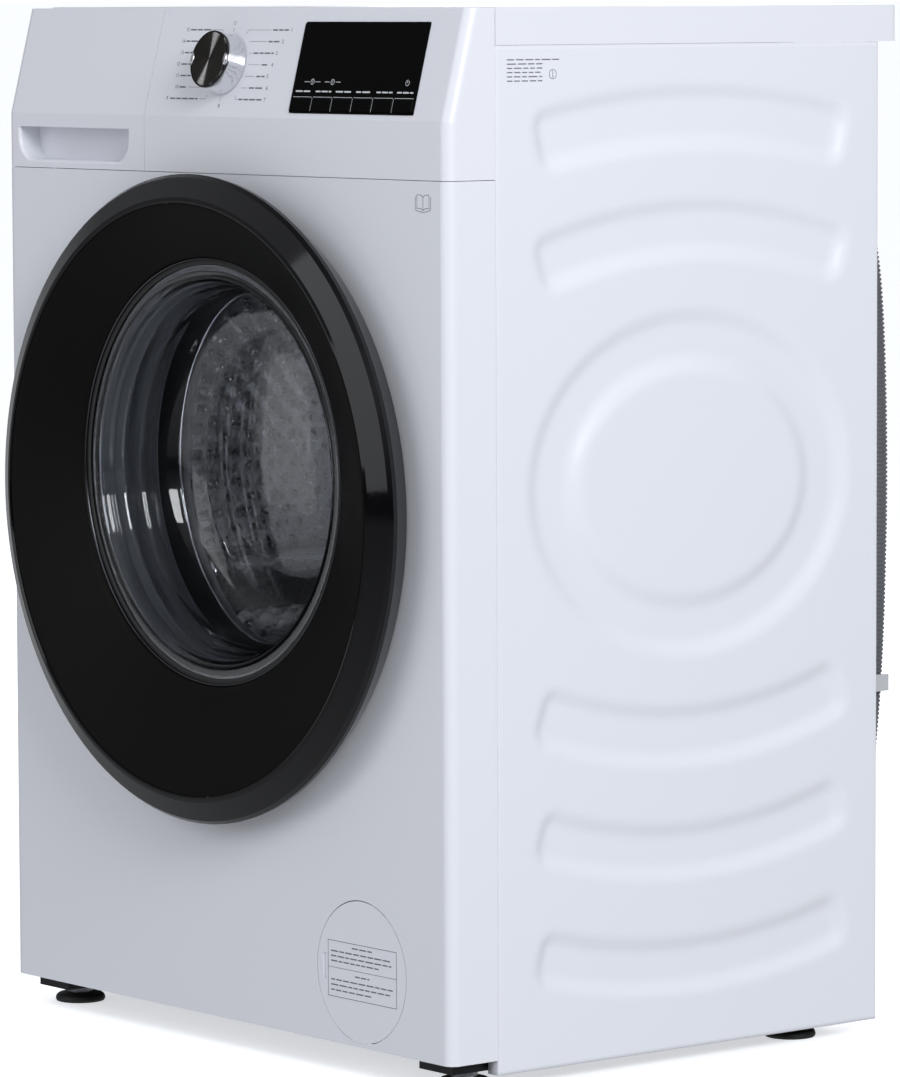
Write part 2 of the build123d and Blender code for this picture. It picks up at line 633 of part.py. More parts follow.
def tub_rear():
    """The rear half of the tub: bearing hub, heater sump, and lugs for springs, dampers and motor."""
    outer = TUB_R + TUB_WALL
    with BuildPart() as tub:
        bar(outer, 0, DRUM_Z, (TUB_SPLIT, TUB_BACK))
        turn([(TUB_SPLIT, TUB_R), (TUB_SPLIT, outer + 9), (TUB_SPLIT + 8, outer + 9), (TUB_SPLIT + 8, TUB_R)])
        block(SUMP_X, (TUB_SPLIT + 8, TUB_BACK - 6), (SUMP_LOW, 300))
        for side in (-1, 1):
            lug_x = sorted((side * (STRUT_X - 12), side * (STRUT_X + 12)))
            block(lug_x, (SPRING_DEPTH - 12, SPRING_DEPTH + 12), (600, 640))
            block(lug_x, (DAMPER_DEPTH - 12, DAMPER_DEPTH + 12), (314, 350))
        reach = math.hypot(MOTOR_X, DRUM_Z - MOTOR_Z)
        swing = math.degrees(math.atan2(MOTOR_X, DRUM_Z - MOTOR_Z))
        for depth in (262, 350):
            lug = Box(20, 12, reach - MOTOR_R - 0.3 - TUB_R, align=(Align.CENTER, Align.CENTER, Align.MAX),
                      mode=Mode.PRIVATE)
            lug_place = Location((0, FRONT_Y + depth, DRUM_Z), (0, -swing, 0)) * Location((0, 0, -TUB_R))
            add(lug_place * lug)
        bar(TUB_R, 0, DRUM_Z, (TUB_SPLIT - 1, TUB_BACK - 8), Mode.SUBTRACT)
        block((SUMP_X[0] + 4, SUMP_X[1] - 4), (TUB_SPLIT + 12, TUB_BACK - 10), (SUMP_LOW + 4, 330),
              Mode.SUBTRACT)
        bar(HUB_R, 0, DRUM_Z, (364, 404))
        bar(BEARING_R + 0.05, 0, DRUM_Z, (366, 380.2), Mode.SUBTRACT)
        bar(BEARING_R + 0.05, 0, DRUM_Z, (387.8, 405), Mode.SUBTRACT)
        bar(14, 0, DRUM_Z, (363, 405), Mode.SUBTRACT)
        for x in HEATER_X:
            bar(3.35, x, HEATER_Z, (TUB_BACK - 20, TUB_BACK + 5), Mode.SUBTRACT)
    return tub.part


HEATER_X = (-50.0, 0.0)
HEATER_Z = 211.0


def heater():
    """The U-shaped heating element that lies in the sump."""
    left, right = HEATER_X
    with BuildPart() as element:
        with BuildLine():
            route = FilletPolyline((left, FRONT_Y + 396, HEATER_Z), (left, FRONT_Y + 226, HEATER_Z),
                                   (right, FRONT_Y + 226, HEATER_Z), (right, FRONT_Y + 396, HEATER_Z),
                                    radius=22)
        with BuildSketch(Plane(origin=route @ 0, z_dir=route % 0)):
            Circle(3.25)
        sweep()
    return element.part


def drum_bearings():
    """Two ball-bearing outlines, 20 mm bore and 47 mm outside."""
    with BuildPart() as bearings:
        for front in (366.1, 387.9):
            bar(BEARING_R, 0, DRUM_Z, (front, front + 14))
            bar(SHAFT_R + RUN, 0, DRUM_Z, (front - 1, front + 15), Mode.SUBTRACT)
    return bearings.part


def counterweights():
    """Two concrete blocks: a ring on the front of the tub and a saddle on its top."""
    with BuildPart() as weights:
        turn([(32, 192), (32, 230), (TUB_FRONT - 0.2, 230), (TUB_FRONT - 0.2, 192)])
        block((-88, 128), (214, 330), (700, 778))
        bar(TUB_R + TUB_WALL + 0.3, 0, DRUM_Z, (210, 340), Mode.SUBTRACT)
        turn([(190, TUB_R), (190, 270), (209, 270), (209, TUB_R)], mode=Mode.SUBTRACT)
    return weights.part


def motor():
    """The drive motor's housing, slung below the tub."""
    with BuildPart() as can:
        turn([(240, 0), (240, 50), (250, MOTOR_R), (374, MOTOR_R), (384, 50), (384, 0)], MOTOR_X, MOTOR_Z)
        bar(6 + RUN, MOTOR_X, MOTOR_Z, (366, 390), Mode.SUBTRACT)
    return can.part


def motor_pulley():
    """The motor's shaft and the small pulley on it."""
    front, back = BELT_DEPTH
    with BuildPart() as pulley:
        turn([(367, 0), (367, 6), (front - 3, 6), (front - 3, 13), (front - 0.5, 13),
              (front - 0.5, MOTOR_PULLEY_R), (back + 0.5, MOTOR_PULLEY_R), (back + 0.5, 13), (back + 3, 13),
              (back + 3, 0)], MOTOR_X, MOTOR_Z)
    return pulley.part


def drum_pulley():
    """The large driven pulley: a rim, a hub and six spokes."""
    front, back = BELT_DEPTH
    with BuildPart() as pulley:
        turn([(front - 1, 132), (front - 1, PULLEY_R), (back + 1, PULLEY_R), (back + 1, 132)])
        bar(22, 0, DRUM_Z, (front - 2, back + 4))
        with BuildSketch(behind(front)) as spokes:
            with Locations((0, DRUM_Z)):
                with PolarLocations(76, 6):
                    Rectangle(116, 16)
        extrude(spokes.sketch, amount=-8)
        bar(SHAFT_R + 0.02, 0, DRUM_Z, (front - 5, back + 8), Mode.SUBTRACT)
    return pulley.part


def drive_belt():
    """The ribbed belt round both pulleys."""
    inner = (PULLEY_R + BELT_GAP, MOTOR_PULLEY_R + BELT_GAP)
    span = math.hypot(MOTOR_X, DRUM_Z - MOTOR_Z)
    # Local X runs from the motor pulley up to the drum pulley.
    along = Plane(origin=(MOTOR_X, FRONT_Y + BELT_DEPTH[0] + 1, MOTOR_Z),
                  x_dir=(-MOTOR_X, 0, DRUM_Z - MOTOR_Z), z_dir=(0, -1, 0))
    with BuildPart() as belt:
        for extra, mode in ((BELT_THICK, Mode.ADD), (0.0, Mode.SUBTRACT)):
            large, small = inner[0] + extra, inner[1] + extra
            tilt = math.asin((large - small) / span)
            with BuildSketch(along) as loop:
                with Locations((span, 0)):
                    Circle(large)
                Circle(small)
                with BuildLine():
                    Polyline((span - large * math.sin(tilt), large * math.cos(tilt)),
                             (-small * math.sin(tilt), small * math.cos(tilt)),
                             (-small * math.sin(tilt), -small * math.cos(tilt)),
                             (span - large * math.sin(tilt), -large * math.cos(tilt)), close=True)
                make_face()
            extrude(loop.sketch, amount=-10, mode=mode)
    return belt.part


def drum_shell():
    """The stainless drum: a rolled front lip, the cylinder and a flat back."""
    with BuildPart() as drum:
        turn([(DRUM_FRONT, 166), (DRUM_FRONT, 222), (DRUM_FRONT + 14, DRUM_R), (DRUM_BACK, DRUM_R),
              (DRUM_BACK, 0), (DRUM_BACK - 1.5, 0), (DRUM_BACK - 1.5, DRUM_R - 1.5),
              (DRUM_FRONT + 14.6, DRUM_R - 1.5),
              (DRUM_FRONT + 1.5, 221), (DRUM_FRONT + 1.5, 170),
              (DRUM_FRONT + 10, 170), (DRUM_FRONT + 10, 166)])
    return drum.part


def drum_lifters():
    """Three hollow ridges that lift the laundry."""
    with BuildPart() as lifters:
        with BuildSketch(behind(110)) as ridges:
            with Locations((0, DRUM_Z)):
                with PolarLocations(0, 3, start_angle=90):
                    Polygon((190, -14), (231, -36), (231, 36), (190, 14), align=None)
            crests = [v for v in ridges.vertices() if math.hypot(v.X, v.Y - DRUM_Z) < 200]
            fillet(crests, radius=8)
        extrude(ridges.sketch, amount=-224)
        with BuildSketch(behind(111.5)) as hollows:
            with Locations((0, DRUM_Z)):
                with PolarLocations(0, 3, start_angle=90):
                    Polygon((191.8, -13.2), (232, -34.8), (232, 34.8), (191.8, 13.2), align=None)
        extrude(hollows.sketch, amount=-221, mode=Mode.SUBTRACT)
    return lifters.part


def drum_spider():
    """The three-armed casting behind the drum, in one piece with its shaft."""
    with BuildPart() as spider:
        bar(26, 0, DRUM_Z, (DRUM_BACK + 0.2, 362))
        with BuildSketch(behind(DRUM_BACK + 0.2)) as arms:
            with Locations((0, DRUM_Z)):
                with PolarLocations(0, 3, start_angle=90):
                    Polygon((10, -22), (224, -14), (224, 14), (10, 22), align=None)
        extrude(arms.sketch, amount=-8)
        bar(SHAFT_R, 0, DRUM_Z, (358, 430))
    return spider.part


def suspension_springs():
    """The two springs that the tub hangs on, as the sleeves that their coils fill."""
    with BuildPart() as springs:
        for side in (-1, 1):
            post(11, side * STRUT_X, SPRING_DEPTH, (640.4, 795.6))
            post(8, side * STRUT_X, SPRING_DEPTH, (652, 784), Mode.SUBTRACT)
    return springs.part


def damper_cylinders():
    """The fixed halves of the two dampers, standing on the base."""
    with BuildPart() as cylinders:
        for side in (-1, 1):
            post(13, side * STRUT_X, DAMPER_DEPTH, (19.8, 210))
            post(10, side * STRUT_X, DAMPER_DEPTH, (60, 202), Mode.SUBTRACT)
            post(5 + RUN, side * STRUT_X, DAMPER_DEPTH, (200, 212), Mode.SUBTRACT)
    return cylinders.part


def damper_rods():
    """The moving halves of the dampers: a piston and a rod up to the tub."""
    with BuildPart() as rods:
        for side in (-1, 1):
            post(5, side * STRUT_X, DAMPER_DEPTH, (120, 313.8))
            post(9.95, side * STRUT_X, DAMPER_DEPTH, (118, 136))
    return rods.part


# ---- water ------------------------------------------------------------------------------------


def filter_cover():
    """The round flap over the pump filter, with a coin slot at its left."""
    with BuildPart() as cover:
        bar(COVER_R, FILTER_X, FILTER_Z, (0, 2.4))
        block((FLAP_HINGE_X - 4, FLAP_HINGE_X + 3), (2.4, 7), (FILTER_Z - 12, FILTER_Z + 12))
        block((FILTER_X - 49.5, FILTER_X - 45.5), (-1, 1.6), (FILTER_Z - 10.5, FILTER_Z + 10.5),
              Mode.SUBTRACT)
    return cover.part


def drain_pump():
    """The pump's housing: filter chamber in front, volute behind it, then its motor."""
    with BuildPart() as pump:
        turn([(16, 30.5), (16, 36), (20, 36), (20, 33), (132, 33), (132, 46), (168, 46), (168, 24), (214, 24),
              (214, 0),
              (172, 0), (172, 4), (164, 4), (164, 40), (136, 40), (136, 30.5)], FILTER_X, FILTER_Z)
        post(19, FILTER_X, SUMP_DEPTH, (FILTER_Z + 30, FILTER_Z + 48))
        bar(30.5, FILTER_X, FILTER_Z, (60, 135), Mode.SUBTRACT)
        post(15, FILTER_X, SUMP_DEPTH, (FILTER_Z + 10, FILTER_Z + 49), Mode.SUBTRACT)
        block((FILTER_X - 40, FILTER_X - 12), (120, 160), (19.8, FILTER_Z - 36))
        block((FILTER_X + 12, FILTER_X + 40), (120, 160), (19.8, FILTER_Z - 36))
        bar(40, FILTER_X, FILTER_Z, (136, 164), Mode.SUBTRACT)
    return pump.part


def pump_filter():
    """The screw-in filter: a grip bar on a cap, and a comb that catches lint."""
    with BuildPart() as plug:
        bar(29.9, FILTER_X, FILTER_Z, (18, 34))
        block((FILTER_X - 24, FILTER_X + 24), (10, 18), (FILTER_Z - 4, FILTER_Z + 4))
        for angle in range(0, 360, 60):
            reach = Vector(22, 0, 0).rotate(Axis.Z, angle)
            bar(2.5, FILTER_X + reach.X, FILTER_Z + reach.Y, (34, 92))
        turn([(88, 12), (88, 26), (92, 26), (92, 12)], FILTER_X, FILTER_Z)
    return plug.part


def pump_impeller():
    """The pump's four-bladed wheel on its shaft."""
    with BuildPart() as wheel:
        turn([(142, 0), (142, 7), (158, 7), (158, 30), (160, 30), (160, 0)], FILTER_X, FILTER_Z)
        block((FILTER_X - 29, FILTER_X + 29), (143, 158.5), (FILTER_Z - 1.5, FILTER_Z + 1.5))
        block((FILTER_X - 1.5, FILTER_X + 1.5), (143, 158.5), (FILTER_Z - 29, FILTER_Z + 29))
        bar(3.94, FILTER_X, FILTER_Z, (158, 171))
    return wheel.part


def sump_hose():
    """The wide rubber hose between the tub's outlet and the pump."""
    with BuildPart() as hose:
        post(22.5, FILTER_X, SUMP_DEPTH, (FILTER_Z + 48.4, 270))
        post(18, FILTER_X, SUMP_DEPTH, (FILTER_Z + 40, 290), Mode.SUBTRACT)
    return hose.part


def inlet_valve():
    """The solenoid water valve, with its 3/4 inch thread standing out of the back."""
    with BuildPart() as valve:
        block((VALVE_X - 14, VALVE_X + 14), (400, 440), (VALVE_Z - 26, VALVE_Z + 18))
        bar(THREAD_R + 3, VALVE_X, VALVE_Z, (440, REAR_FACE - 0.3))
        bar(THREAD_R, VALVE_X, VALVE_Z, (REAR_FACE - 1, 470))
        bar(9, VALVE_X, VALVE_Z, (446, 471), Mode.SUBTRACT)
        bar(6, VALVE_X, VALVE_Z + 4, (380, 401))
    return valve.part


def mains_gland():
    """The blanked cord gland in the back panel."""
    with BuildPart() as gland:
        turn([(446, 0), (446, 8.8), (452.6, 8.8), (452.6, 13), (456, 12), (460, 8), (460, 4.4), (448, 4.4),
              (448, 0)], GLAND_X, GLAND_Z)
    return gland.part


def drain_elbow():
    """The outlet elbow on the back panel that turns the drain water into the hose."""
    with BuildPart() as elbow:
        bar(10, 130, 105, (430, 464))
        with BuildSketch(across(118)):
            with Locations((HOSE_DEPTH, 105)):
                Circle(HOSE_R)
        extrude(amount=26)
        bar(7, 130, 105, (429, 462), Mode.SUBTRACT)
    return elbow.part


# Centre line of the drain hose across the back, as (x, z). It is clipped up the right edge, over
# the top and down the left side, where its open end is parked.
HOSE_ROUTE = (
    (144, 105), (203, 105), (246, 147), (262, 215), (273, 318), (277, 440), (275, 560), (266, 655),
    (233, 728), (172, 768), (82, 781), (-12, 783), (-100, 768), (-170, 722), (-212, 655), (-233, 575),
    (-233, 500),
)


def hose_radii(points):
    """The largest tangent arc that each corner's two runs allow."""
    radii = []
    for before, corner, after in zip(points, points[1:], points[2:]):
        arriving, leaving = corner - before, after - corner
        turn_angle = math.radians(arriving.get_angle(leaving))
        radii.append(0.45 * min(arriving.length, leaving.length) / math.tan(turn_angle / 2))
    return radii


def drain_hose():
    """The drain hose, as a plain tube of its outer size."""
    points = [Vector(x, FRONT_Y + HOSE_DEPTH, z) for x, z in HOSE_ROUTE]
    radii = hose_radii(points)
    with BuildPart() as hose:
        with BuildLine():
            route = FilletPolyline(*points, radius=radii)
        with BuildSketch(Plane(origin=route @ 0, z_dir=route % 0)):
            Circle(HOSE_R)
        sweep()
    length = route.length
    print("drain hose: length", round(length), "smallest radius", round(min(radii)),
          "volume ratio", round(hose.part.volume / (math.pi * HOSE_R**2 * length), 4))
    return hose.part


CLIPS = ((270.2, 290, 0), (36, 782, 90), (-228.5, 590, 0))


def hose_clips():
    """Three clips on the back panel that hold the drain hose."""
    with BuildPart() as clips:
        for x, z, turned in CLIPS:
            wide, tall = (32, 14) if turned == 0 else (14, 32)
            block((x - wide / 2, x + wide / 2), (453.8, HOSE_DEPTH + 9), (z - tall / 2, z + tall / 2))
            block((x - 6, x + 6), (452.5, 456), (z - 6, z + 6))
        for x, z, turned in CLIPS:
            with BuildSketch(level(z - 20) if turned == 0 else across(x - 20)) as bore:
                with Locations((x, HOSE_DEPTH) if turned == 0 else (HOSE_DEPTH, z)):
                    Circle(HOSE_R + 2)
            extrude(bore.sketch, amount=40, mode=Mode.SUBTRACT)
    return clips.part


PARTS = {
    "front_panel": front_panel,
    "rear_panel": rear_panel,
    "rear_access_cover": rear_access_cover,
    "transit_bolt_caps": transit_bolt_caps,
    "base_frame": base_frame,
    "worktop": worktop,
    "top_crossbar": top_crossbar,
    "control_panel": control_panel,
    "display_window": display_window,
    "programme_knob": programme_knob,
    "drawer_front": drawer_front,
    "detergent_tray": detergent_tray,
    "dispenser_housing": dispenser_housing,
    "door_outer_ring": door_outer_ring,
    "door_face_ring": door_face_ring,
    "door_glass": door_glass,
    "door_back_ring": door_back_ring,
    "door_hinge_bracket": door_hinge_bracket,
    "door_hinge_pin": door_hinge_pin,
    "door_hinge_arm": door_hinge_arm,
    "door_hook": door_hook,
    "door_lock": door_lock,
    "door_gasket": door_gasket,
    "tub_front": tub_front,
    "tub_rear": tub_rear,
    "heater": heater,
    "drum_bearings": drum_bearings,
    "counterweights": counterweights,
    "motor": motor,
    "motor_pulley": motor_pulley,
    "drum_pulley": drum_pulley,
    "drive_belt": drive_belt,
    "drum_shell": drum_shell,
    "drum_lifters": drum_lifters,
    "drum_spider": drum_spider,
    "suspension_springs": suspension_springs,
    "damper_cylinders": damper_cylinders,
    "damper_rods": damper_rods,
    "filter_cover": filter_cover,
    "drain_pump": drain_pump,
    "pump_filter": pump_filter,
    "pump_impeller": pump_impeller,
    "sump_hose": sump_hose,
    "inlet_valve": inlet_valve,
    "mains_gland": mains_gland,
    "drain_elbow": drain_elbow,
    "drain_hose": drain_hose,
    "hose_clips": hose_clips,
}

for name, make in PARTS.items():
    save(make(), name)
save(side_panel(1), "right_side_panel")
save(side_panel(-1), "left_side_panel")
for number, middle in enumerate(key_middles(), start=1):
    save(key(middle), f"key_{number}")
for name, (x, depth) in FEET.items():
    save(foot(x, depth), f"foot_{name}")
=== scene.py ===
import json
import random
from math import atan2, copysign, cos, hypot, pi, radians, sin

import bpy
import bmesh
from mathutils import Matrix, Vector


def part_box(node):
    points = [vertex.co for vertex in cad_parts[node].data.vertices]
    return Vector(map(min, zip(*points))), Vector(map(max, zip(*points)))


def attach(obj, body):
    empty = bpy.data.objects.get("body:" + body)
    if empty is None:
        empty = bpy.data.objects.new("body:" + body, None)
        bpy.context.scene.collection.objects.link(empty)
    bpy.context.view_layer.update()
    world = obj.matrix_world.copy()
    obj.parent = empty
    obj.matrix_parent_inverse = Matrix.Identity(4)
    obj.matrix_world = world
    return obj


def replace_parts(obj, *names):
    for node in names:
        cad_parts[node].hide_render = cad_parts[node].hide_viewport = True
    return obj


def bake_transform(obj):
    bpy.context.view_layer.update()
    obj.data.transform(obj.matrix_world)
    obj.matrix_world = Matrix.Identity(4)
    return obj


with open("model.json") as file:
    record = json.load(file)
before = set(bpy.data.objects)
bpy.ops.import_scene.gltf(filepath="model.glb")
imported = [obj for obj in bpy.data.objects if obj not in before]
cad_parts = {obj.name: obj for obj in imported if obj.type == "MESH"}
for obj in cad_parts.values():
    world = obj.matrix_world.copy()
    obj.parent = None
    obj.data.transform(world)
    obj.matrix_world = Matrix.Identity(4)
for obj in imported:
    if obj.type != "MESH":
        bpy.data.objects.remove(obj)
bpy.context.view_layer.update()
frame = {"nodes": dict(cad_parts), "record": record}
NODES = frame["nodes"]
RNG = random.Random(7)

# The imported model's own measures, in metres. "Depth" is the distance behind the front panel.
FRONT_Y = -0.220
HALF = 0.2975
SHEET_INSET = 0.0001  # leaves the side label room inside the box
BEND_Z = 0.7615
LEAN = atan2(22.8, 87.5)
DRUM_Z = 0.4734
DOOR_Z = 0.452


# ---- materials ----

class Graph:
    """Makes and links nodes in one node tree."""

    def __init__(self, tree):
        tree.nodes.clear()
        self.tree = tree

    def node(self, kind, inputs=None, **settings):
        """A node whose inputs each take a plain value or another node's output."""
        made = self.tree.nodes.new(kind)
        for name, value in settings.items():
            setattr(made, name, value)
        for socket, value in (inputs or {}).items():
            if isinstance(value, bpy.types.NodeSocket):
                self.tree.links.new(value, made.inputs[socket])
            else:
                made.inputs[socket].default_value = value
        return made

    def ramp(self, value, low, high, to_low, to_high):
        """A number remapped from low..high to to_low..to_high, clamped."""
        return self.node("ShaderNodeMapRange", {
            "Value": value, "From Min": low, "From Max": high, "To Min": to_low,
            "To Max": to_high}).outputs["Result"]

    def blend(self, factor, first, second):
        """A colour between two."""
        return self.node("ShaderNodeMix", {0: factor, 6: (*first, 1), 7: (*second, 1)},
                         data_type="RGBA").outputs[2]

    def maths(self, operation, *values):
        return self.node("ShaderNodeMath", dict(enumerate(values)),
                         operation=operation).outputs[0]

    def noise(self, vector, scale):
        return self.node("ShaderNodeTexNoise", {"Vector": vector, "Scale": scale, "Detail": 2.0,
                                                "Roughness": 0.5}).outputs["Fac"]


def surface(name, inputs_of):
    """A material with one principled shader, whose inputs come from a function of the graph."""
    mat = bpy.data.materials.new(name)
    mat.use_nodes = True
    graph = Graph(mat.node_tree)
    shader = graph.node("ShaderNodeBsdfPrincipled", inputs_of(graph))
    graph.node("ShaderNodeOutputMaterial", {0: shader.outputs[0]})
    return mat


def finish(name, colour, roughness, tone, patch, spread, grain, relief, fixed=None,
           stretch=(1, 1, 1)):
    """A surface whose colour drifts in patches, with roughness and fine relief from a grain."""
    def inputs_of(graph):
        place_at = graph.node("ShaderNodeTexCoord").outputs["Object"]
        space = graph.node("ShaderNodeMapping",
                           {"Vector": place_at, "Scale": stretch}).outputs["Vector"]
        fine = graph.noise(space, grain)
        darker = tuple(c * (1 - tone) for c in colour)
        lighter = tuple(min(1.0, c * (1 + tone)) for c in colour)
        bump = graph.node("ShaderNodeBump", {"Distance": relief, "Strength": 1.0, "Height": fine})
        return {"Base Color": graph.blend(graph.noise(space, patch), darker, lighter),
                "Roughness": graph.ramp(fine, 0.3, 0.7, roughness - spread, roughness + spread),
                "Normal": bump.outputs["Normal"], **(fixed or {})}

    return surface(name, inputs_of)


METAL = {"Metallic": 1.0}
# Name, colour and roughness; how far the colour drifts, and the scale of its patches; how far
# the roughness spreads; the grain's scale and its relief in metres; then other inputs.
FINISHES = (
    ("white_enamel", (0.80, 0.815, 0.865), 0.27, 0.010, 3.0, 0.003, 110.0, 0.0000003,
     {"Coat Weight": 0.3, "Coat Roughness": 0.12}),
    ("white_plastic", (0.80, 0.81, 0.86), 0.31, 0.010, 5.0, 0.02, 900.0, 0.000003),
    ("black_gloss", (0.003, 0.003, 0.0035), 0.06, 0.2, 9.0, 0.02, 240.0, 0.000004,
     {"Specular IOR Level": 0.40}),
    ("charcoal_matte", (0.0030, 0.0029, 0.0026), 0.46, 0.25, 4.0, 0.05, 2600.0, 0.00002,
     {"Specular IOR Level": 0.10}),
    ("knob_metal", (0.62, 0.62, 0.64), 0.24, 0.04, 40.0, 0.05, 3000.0, 0.00001, METAL),
    ("stainless", (0.64, 0.64, 0.65), 0.13, 0.08, 14.0, 0.05, 500.0, 0.00003, METAL, (1, 6, 1)),
    ("zinc_steel", (0.56, 0.58, 0.60), 0.40, 0.12, 70.0, 0.10, 500.0, 0.00002,
     {"Metallic": 0.5}),
    ("cast_alloy", (0.42, 0.42, 0.43), 0.50, 0.10, 60.0, 0.08, 1400.0, 0.00012,
     {"Metallic": 0.85}),
    ("concrete", (0.33, 0.32, 0.30), 0.85, 0.18, 55.0, 0.08, 420.0, 0.0005),
    ("grey_plastic", (0.30, 0.31, 0.33), 0.45, 0.05, 12.0, 0.06, 1700.0, 0.00003),
    ("black_plastic", (0.013, 0.013, 0.014), 0.36, 0.2, 25.0, 0.06, 2200.0, 0.00003),
    ("grey_rubber", (0.12, 0.125, 0.135), 0.55, 0.10, 18.0, 0.08, 1300.0, 0.00005),
    ("black_rubber", (0.016, 0.016, 0.016), 0.62, 0.2, 30.0, 0.08, 1500.0, 0.00006),
    ("hose_grey", (0.105, 0.11, 0.12), 0.42, 0.10, 16.0, 0.06, 1200.0, 0.00003),
    ("clip_grey", (0.50, 0.51, 0.53), 0.42, 0.05, 30.0, 0.05, 1500.0, 0.00003),
    ("tinted_glass", (0.70, 0.72, 0.76), 0.03, 0.02, 5.0, 0.01, 60.0, 0.00004,
     {"Transmission Weight": 1.0, "IOR": 1.45}),
    # Finishes of single pieces, which no slot names.
    ("label_ink", (0.16, 0.165, 0.185), 0.5, 0.1, 200.0, 0.05, 4000.0, 0.000004),
    ("display_ink", (0.62, 0.64, 0.66), 0.4, 0.06, 200.0, 0.05, 4000.0, 0.000004),
    ("display_black", (0.0015, 0.0015, 0.0015), 0.09, 0.2, 9.0, 0.02, 240.0, 0.000004,
     {"Specular IOR Level": 0.06}),
    ("dark_chrome", (0.10, 0.10, 0.11), 0.20, 0.08, 30.0, 0.04, 1800.0, 0.000005, METAL),
    ("drum_steel", (0.68, 0.68, 0.69), 0.09, 0.10, 20.0, 0.05, 44.0, 0.0034, METAL),
    ("drum_back_steel", (0.62, 0.62, 0.63), 0.30, 0.10, 20.0, 0.06, 22.0, 0.0012, METAL),
    ("knob_chrome", (0.80, 0.81, 0.83), 0.10, 0.03, 60.0, 0.03, 2500.0, 0.000005, METAL),
    ("floor_matte", (0.86, 0.865, 0.875), 0.75, 0.01, 0.8, 0.05, 60.0, 0.00005,
     {"Emission Color": (0.95, 0.97, 1.0, 1.0), "Emission Strength": 0.62}),
)


def spun_metal(graph):
    """Dark turned metal: fine rings; highlights fan out from the middle, partly reflected, partly
    painted.
    """
    place_at = graph.node("ShaderNodeTexCoord").outputs["Object"]
    split = graph.node("ShaderNodeSeparateXYZ", {0: place_at})
    reach = graph.node("ShaderNodeVectorMath", {0: place_at}, operation="LENGTH")
    rings = graph.node("ShaderNodeTexNoise", {"Scale": 9000.0, "W": reach.outputs["Value"]},
                       noise_dimensions="1D").outputs["Fac"]
    # The colour turns near white in two narrow opposite wedges: a painted highlight standing in
    # for a spun face's reflection.
    angle = graph.maths("ARCTAN2", split.outputs["X"], split.outputs["Y"])
    wave = graph.maths("COSINE", graph.maths("ADD", angle, radians(-12)))
    highlight_wedge = graph.ramp(graph.maths("ABSOLUTE", wave), 0.965, 0.999, 0.0, 1.0)
    painted_highlight = graph.maths("MULTIPLY", highlight_wedge, graph.ramp(rings, 0.3, 0.7, 0.85, 1.0))
    tangent = graph.node("ShaderNodeTangent", direction_type="RADIAL", axis="Z")
    return {"Base Color": graph.blend(painted_highlight, (0.055, 0.051, 0.046), (0.93, 0.92, 0.90)),
            "Roughness": graph.ramp(rings, 0.3, 0.7, 0.20, 0.32), "Metallic": 1.0,
            "Anisotropic": 0.85, "Tangent": tangent.outputs[0]}


MATERIALS = {row[0]: finish(*row) for row in FINISHES}
MATERIALS["spun_metal"] = surface("spun_metal", spun_metal)

for part in frame["record"]["subparts"]:
    worn = NODES[part["node"]].data.materials
    worn.clear()
    worn.append(MATERIALS[part["material_slot"]])


# ---- building ----

def new_object(name, data):
    made = bpy.data.objects.new(name, data)
    bpy.context.scene.collection.objects.link(made)
    return made


def place(name, mesh, slot, body, material=None, smooth=True):
    """Puts a finished mesh in the scene as a piece that rides on a body."""
    piece = new_object(name, mesh)
    mesh.materials.append(MATERIALS[material or slot])
    if smooth:
        mesh.shade_smooth()
    if body:
        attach(piece, body)
    return piece


def local_piece(name, mesh, at, slot, body, material=None, smooth=True):
    """A piece whose mesh keeps its own local axes, placed by a matrix."""
    piece = place(name, mesh, slot, None, material, smooth)
    piece.matrix_world = at
    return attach(piece, body)


def thicken(piece, thickness, offset):
    """Gives a sheet its thickness: behind it (-1), about it (0) or in front of it (1)."""
    sheet = piece.modifiers.new("thickness", "SOLIDIFY")
    sheet.thickness = thickness
    sheet.offset = offset


def mesh_of(name, verts, faces):
    mesh = bpy.data.meshes.new(name)
    mesh.from_pydata(verts, [], faces)
    mesh.update()
    return mesh


def tidied(mesh):
    """Welds points that meet, drops flat faces and turns all faces outwards."""
    work = bmesh.new()
    work.from_mesh(mesh)
    bmesh.ops.remove_doubles(work, verts=work.verts, dist=1e-6)
    bmesh.ops.dissolve_degenerate(work, edges=work.edges, dist=1e-7)
    bmesh.ops.recalc_face_normals(work, faces=work.faces)
    work.to_mesh(mesh)
    work.free()
    return mesh


def joined(name, meshes, places=None):
    """One mesh from several, each first moved by its own matrix where places are given."""
    work = bmesh.new()
    for mesh, at in zip(meshes, places or [Matrix()] * len(meshes)):
        part = mesh.copy()
        part.transform(at)
        work.from_mesh(part)
        bpy.data.meshes.remove(part)
    whole = bpy.data.meshes.new(name)
    work.to_mesh(whole)
    work.free()
    return whole


def smoothstep(low, high, value):
    t = min(1.0, max(0.0, (value - low) / (high - low)))
    return t * t * (3 - 2 * t)


def angles(count):
    """A full turn in equal steps."""
    return [2 * pi * k / count for k in range(count)]


def weave(rows, wide, ring=True, loop=False):
    """Quads between rows of points; a row may be a ring, and the last row may meet the first."""
    faces = []
    for j in range(rows if loop else rows - 1):
        here, there = j * wide, (j + 1) % rows * wide
        for k in range(wide if ring else wide - 1):
            n = (k + 1) % wide
            faces.append((here + k, here + n, there + n, there + k))
    return faces


def lofted(name, rings):
    """A closed mesh through rings that have equally many points, with flat ends."""
    wide, verts = len(rings[0]), [point for ring in rings for point in ring]
    ends = [tuple(range(wide)), tuple(range(len(verts) - wide, len(verts)))]
    return tidied(mesh_of(name, verts, weave(len(rings), wide) + ends))


